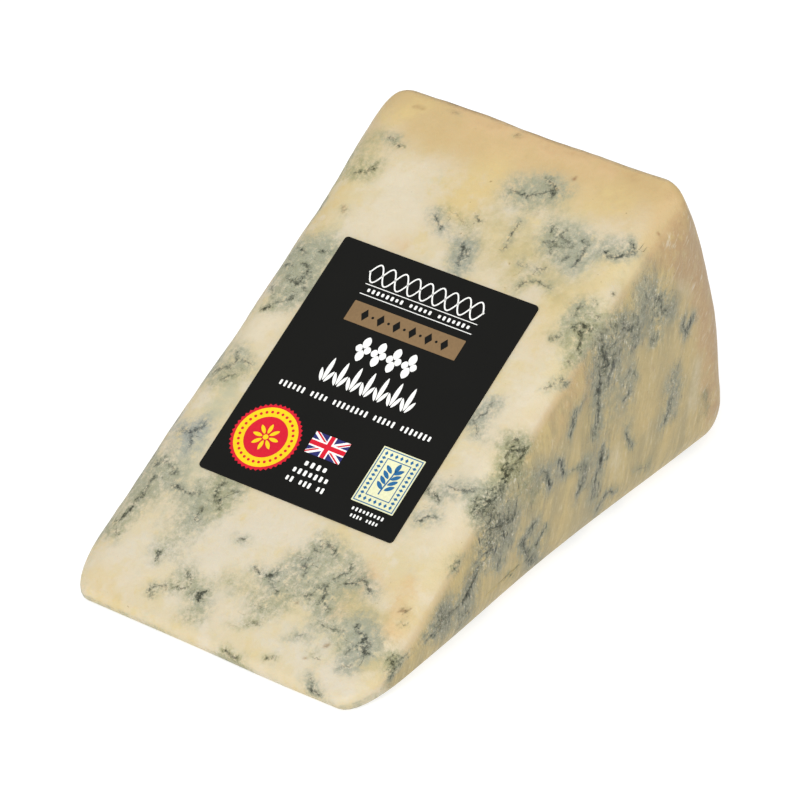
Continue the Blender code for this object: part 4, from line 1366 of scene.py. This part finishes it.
bronze_ink = ink_material("bronze_ink", srgb(130, 104, 71))
printed("bronze_band", [rounded_rectangle(BAND_MIDDLE, *BAND_SIZE, 0.08)], bronze_ink)
marks = []
for across in spread(LOZENGES, LOZENGE_PITCH):
    marks.append(lozenge((BAND_MIDDLE[0] + across, BAND_MIDDLE[1]), *LOZENGE_SIZE))
for across in spread(LOZENGES - 1, LOZENGE_PITCH):
    marks.append(circle((BAND_MIDDLE[0] + across, BAND_MIDDLE[1]), BAND_DOT))
printed("band_lozenges", marks, black_ink, level=2)


# The two bold rows in the middle of the print: white four-leaved flowers, then white sprigs of three leaves,
# with a fine line of marks under them.
FLOWERS = 4
FLOWER_PITCH = 2.78
FLOWER_HEIGHT = 5.2
FLOWER_EYE = 0.18
FLOWER_LEAVES = ((0, 1.15), (90, 2.0), (180, 1.15), (270, 2.0))
FLOWER_LEAF_WIDTH = 1.3
SPRIGS = 7
SPRIG_PITCH = 2.46
SPRIG_FOOT = -1.95
SPRIG_LEAVES = ((0.0, 0.2, 4.1, 0.74, 90), (-0.3, 0.0, 2.3, 0.6, 111), (0.3, 0.0, 2.3, 0.6, 69))
UNDERLINE_HEIGHT = -4.37
UNDERLINE_ENDS = (-13.7, 14.2)
UNDERLINE_GROUPS = (6, 4, 8, 5, 7)


def leaf(foot, length, width, degrees):
    """A pointed oval from its foot: along by the cosine, across by the sine to the power 1.5."""
    turn = math.radians(degrees)
    sweep = np.linspace(0, 2 * math.pi, 28, endpoint=False)
    along = length / 2 * (1 + np.cos(sweep))
    across = width / 2 * np.sign(np.sin(sweep)) * np.abs(np.sin(sweep)) ** 1.5
    x = foot[0] + along * math.cos(turn) - across * math.sin(turn)
    y = foot[1] + along * math.sin(turn) + across * math.cos(turn)
    return np.stack([x, y], axis=1)


def from_middle(middle, reach, degrees):
    """The flat point at this distance from a middle, in this direction."""
    turn = math.radians(degrees)
    return middle[0] + reach * math.cos(turn), middle[1] + reach * math.sin(turn)


leaves = []
for across in spread(FLOWERS, FLOWER_PITCH):
    for degrees, length in FLOWER_LEAVES:
        foot = from_middle((across, FLOWER_HEIGHT), FLOWER_EYE, degrees)
        leaves.append(leaf(foot, length, FLOWER_LEAF_WIDTH, degrees))
for across in spread(SPRIGS, SPRIG_PITCH):
    for aside, up, length, width, degrees in SPRIG_LEAVES:
        leaves.append(leaf((across + aside, SPRIG_FOOT + up), length, width, degrees))
leaves += mark_row(UNDERLINE_GROUPS, UNDERLINE_ENDS, UNDERLINE_HEIGHT, 1.05, 0.46)
printed("leaf_rows", leaves, white_ink)


# The round seal: a red disc with a toothed edge, a yellow ring on it with red dots, and a red middle with a
# yellow rosette.
SEAL_MIDDLE = (-10.27, -13.5)
SEAL_RADIUS = 5.6
SEAL_TEETH = 44
TOOTH_HEIGHT = 0.16
SEAL_RING = (5.1, 3.5)
SEAL_DOTS = 30
SEAL_DOT = 0.24
SEAL_PETALS = 8
PETAL_FOOT = 0.6
PETAL_SIZE = (1.7, 0.62)
ROSETTE_EYE = 0.45

red_ink = ink_material("red_ink", srgb(208, 8, 40))
yellow_ink = ink_material("yellow_ink", srgb(238, 204, 10))
sweep = np.linspace(0, 2 * math.pi, SEAL_TEETH * 4, endpoint=False)
toothed = SEAL_RADIUS + TOOTH_HEIGHT * np.cos(SEAL_TEETH * sweep)
seal_edge = SEAL_MIDDLE + toothed[:, None] * np.stack([np.cos(sweep), np.sin(sweep)], axis=1)
printed("seal_edge", [seal_edge], red_ink)
printed("seal_ring", [circle(SEAL_MIDDLE, SEAL_RING[0], 64)], yellow_ink, level=2, layers=1)
seal_red = [circle(SEAL_MIDDLE, SEAL_RING[1], 48)]
for number in range(SEAL_DOTS):
    centre = from_middle(SEAL_MIDDLE, sum(SEAL_RING) / 2, 360 * number / SEAL_DOTS)
    seal_red.append(circle(centre, SEAL_DOT, 10))
printed("seal_middle", seal_red, red_ink, level=3, layers=1)
petals = [circle(SEAL_MIDDLE, ROSETTE_EYE, 16)]
for number in range(SEAL_PETALS):
    degrees = 360 * number / SEAL_PETALS
    petals.append(leaf(from_middle(SEAL_MIDDLE, PETAL_FOOT, degrees), *PETAL_SIZE, degrees))
printed("seal_rosette", petals, yellow_ink, level=4, layers=1)


# The flag: the common pattern of two saltires under a cross, in blue, white and red ink, with three short
# lines of marks under it.
FLAG_MIDDLE = np.array((-0.15, -11.47))
FLAG_SIZE = (6.25, 3.75)
WHITE_ARM = 0.75
RED_ARM = 0.25
WHITE_BAR = 1.25
RED_BAR = 0.75
BAR_STEP = 0.2
FLAG_ROWS = (((4,), -14.95, 2.2), ((7,), -16.5, 3.35), ((2, 3, 2), -18.1, 3.6))


def saltire_arm(corner, wide, shift):
    """A bar from the flag's middle to a corner, cut off by its edges and moved aside from the diagonal."""
    half = np.array(FLAG_SIZE) / 2
    tilt = math.atan2(half[1], half[0])
    sides = (shift + wide / 2, shift - wide / 2)
    start = [(-side * math.sin(tilt), side * math.cos(tilt)) for side in sides]
    end = []
    for side in sides:
        above = (half[0] - side / math.sin(tilt), half[1])
        below = (half[0], half[1] + side / math.cos(tilt))
        end.append(above if side >= 0 else below)
    tip = [tuple(half)] if sides[0] > 0 > sides[1] else []
    return FLAG_MIDDLE + np.array([start[0], end[0], *tip, end[1], start[1]]) * corner


def cross(wide):
    """An upright cross that reaches the flag's edges."""
    across, up = FLAG_SIZE
    sizes = ((across, wide), (wide, up))
    return [rounded_rectangle(FLAG_MIDDLE, *size, 0.01, 2) for size in sizes]


blue_ink = ink_material("blue_ink", srgb(36, 38, 104))
printed("flag_field", [rounded_rectangle(FLAG_MIDDLE, *FLAG_SIZE, 0.02, 2)], blue_ink)
for number, corner in enumerate(np.array(((1, 1), (-1, 1), (-1, -1), (1, -1)))):
    aside = RED_ARM / 2 if number % 2 else -RED_ARM / 2
    white_arm = saltire_arm(corner, WHITE_ARM, 0.0)
    red_arm = saltire_arm(corner, RED_ARM, aside)
    printed(f"flag_white_arm_{number}", [white_arm], white_ink, level=2, layers=1)
    printed(f"flag_red_arm_{number}", [red_arm], red_ink, level=3, layers=1)
for colour, ink, wide, level in (("white", white_ink, WHITE_BAR, 4), ("red", red_ink, RED_BAR, 5)):
    for number, bar in enumerate(cross(wide)):
        printed(f"flag_{colour}_bar_{number}", [bar], ink, level=level + BAR_STEP * number, layers=1)
rows = []
for groups, height, half_width in FLAG_ROWS:
    rows += mark_row(groups, (-half_width - 0.15, half_width - 0.15), height, 0.95, 0.52)
printed("flag_marks", rows, white_ink)


# The panel at the lower right: a cream field with a blue frame of beads and a blue sprig, and two tiny lines
# of marks under it.
PANEL_MIDDLE = np.array((11.65, -12.75))
PANEL_SIZE = (7.45, 9.75)
OUTER_FRAME = (0.22, 0.16)
INNER_FRAME = (1.6, 0.14)
BEAD_INSET = 0.99
BEAD_SIZE = (0.55, 0.75)
STEM_ENDS = (-2.6, 1.9)
STEM_BEND = 0.25
STEM_WIDTH = 0.22
STEM_LEAF_PAIRS = 4
STEM_LEAF_START = -1.7
STEM_LEAF_PITCH = 0.95
TINY_ROWS = (((9,), (8.7, 14.6), -18.72), ((4, 4), (9.1, 14.2), -19.85))

cream_ink = ink_material("cream_ink", srgb(226, 226, 186))
sky_ink = ink_material("sky_blue_ink", srgb(28, 98, 148))
printed("panel_field", [rounded_rectangle(PANEL_MIDDLE, *PANEL_SIZE, 0.08)], cream_ink)


def frame_bars(inset, weight):
    """Four bars round the panel, at a distance inside its edge."""
    across, up = PANEL_SIZE[0] / 2 - inset, PANEL_SIZE[1] / 2 - inset
    bars = []
    for sign in (-1, 1):
        upright = PANEL_MIDDLE + (sign * (across - weight / 2), 0)
        level = PANEL_MIDDLE + (0, sign * (up - weight / 2))
        bars.append(rounded_rectangle(upright, weight, 2 * (up - weight), 0.01, 2))
        bars.append(rounded_rectangle(level, 2 * across, weight, 0.01, 2))
    return bars


blue_marks = frame_bars(*OUTER_FRAME) + frame_bars(*INNER_FRAME)
half = np.array(PANEL_SIZE) / 2 - BEAD_INSET
for sign in (-1, 1):
    for share in np.linspace(-1, 1, 7):
        blue_marks.append(lozenge(PANEL_MIDDLE + (share, sign) * half, *BEAD_SIZE))
    for share in np.linspace(-0.8, 0.8, 9):
        blue_marks.append(lozenge(PANEL_MIDDLE + (sign, share) * half, *BEAD_SIZE[::-1]))
bend = STEM_BEND * np.sin(np.linspace(-1.5, 1.5, 12))
stem = PANEL_MIDDLE + np.stack([bend, np.linspace(*STEM_ENDS, 12)], axis=1)
blue_marks.append(strip(stem, STEM_WIDTH))
blue_marks.append(leaf(PANEL_MIDDLE + (0.2, 1.5), 1.6, 0.75, 80))
for number in range(STEM_LEAF_PAIRS):
    for sign in (-1, 1):
        foot = PANEL_MIDDLE + (sign * 0.2, STEM_LEAF_START + number * STEM_LEAF_PITCH)
        blue_marks.append(leaf(foot, 1.7, 0.66, 90 - sign * 52))
printed("panel_sprig", blue_marks, sky_ink, level=2, layers=1)
tiny = []
for groups, ends, height in TINY_ROWS:
    tiny += mark_row(groups, ends, height, 0.62, 0.5)
printed("tiny_marks", tiny, white_ink)
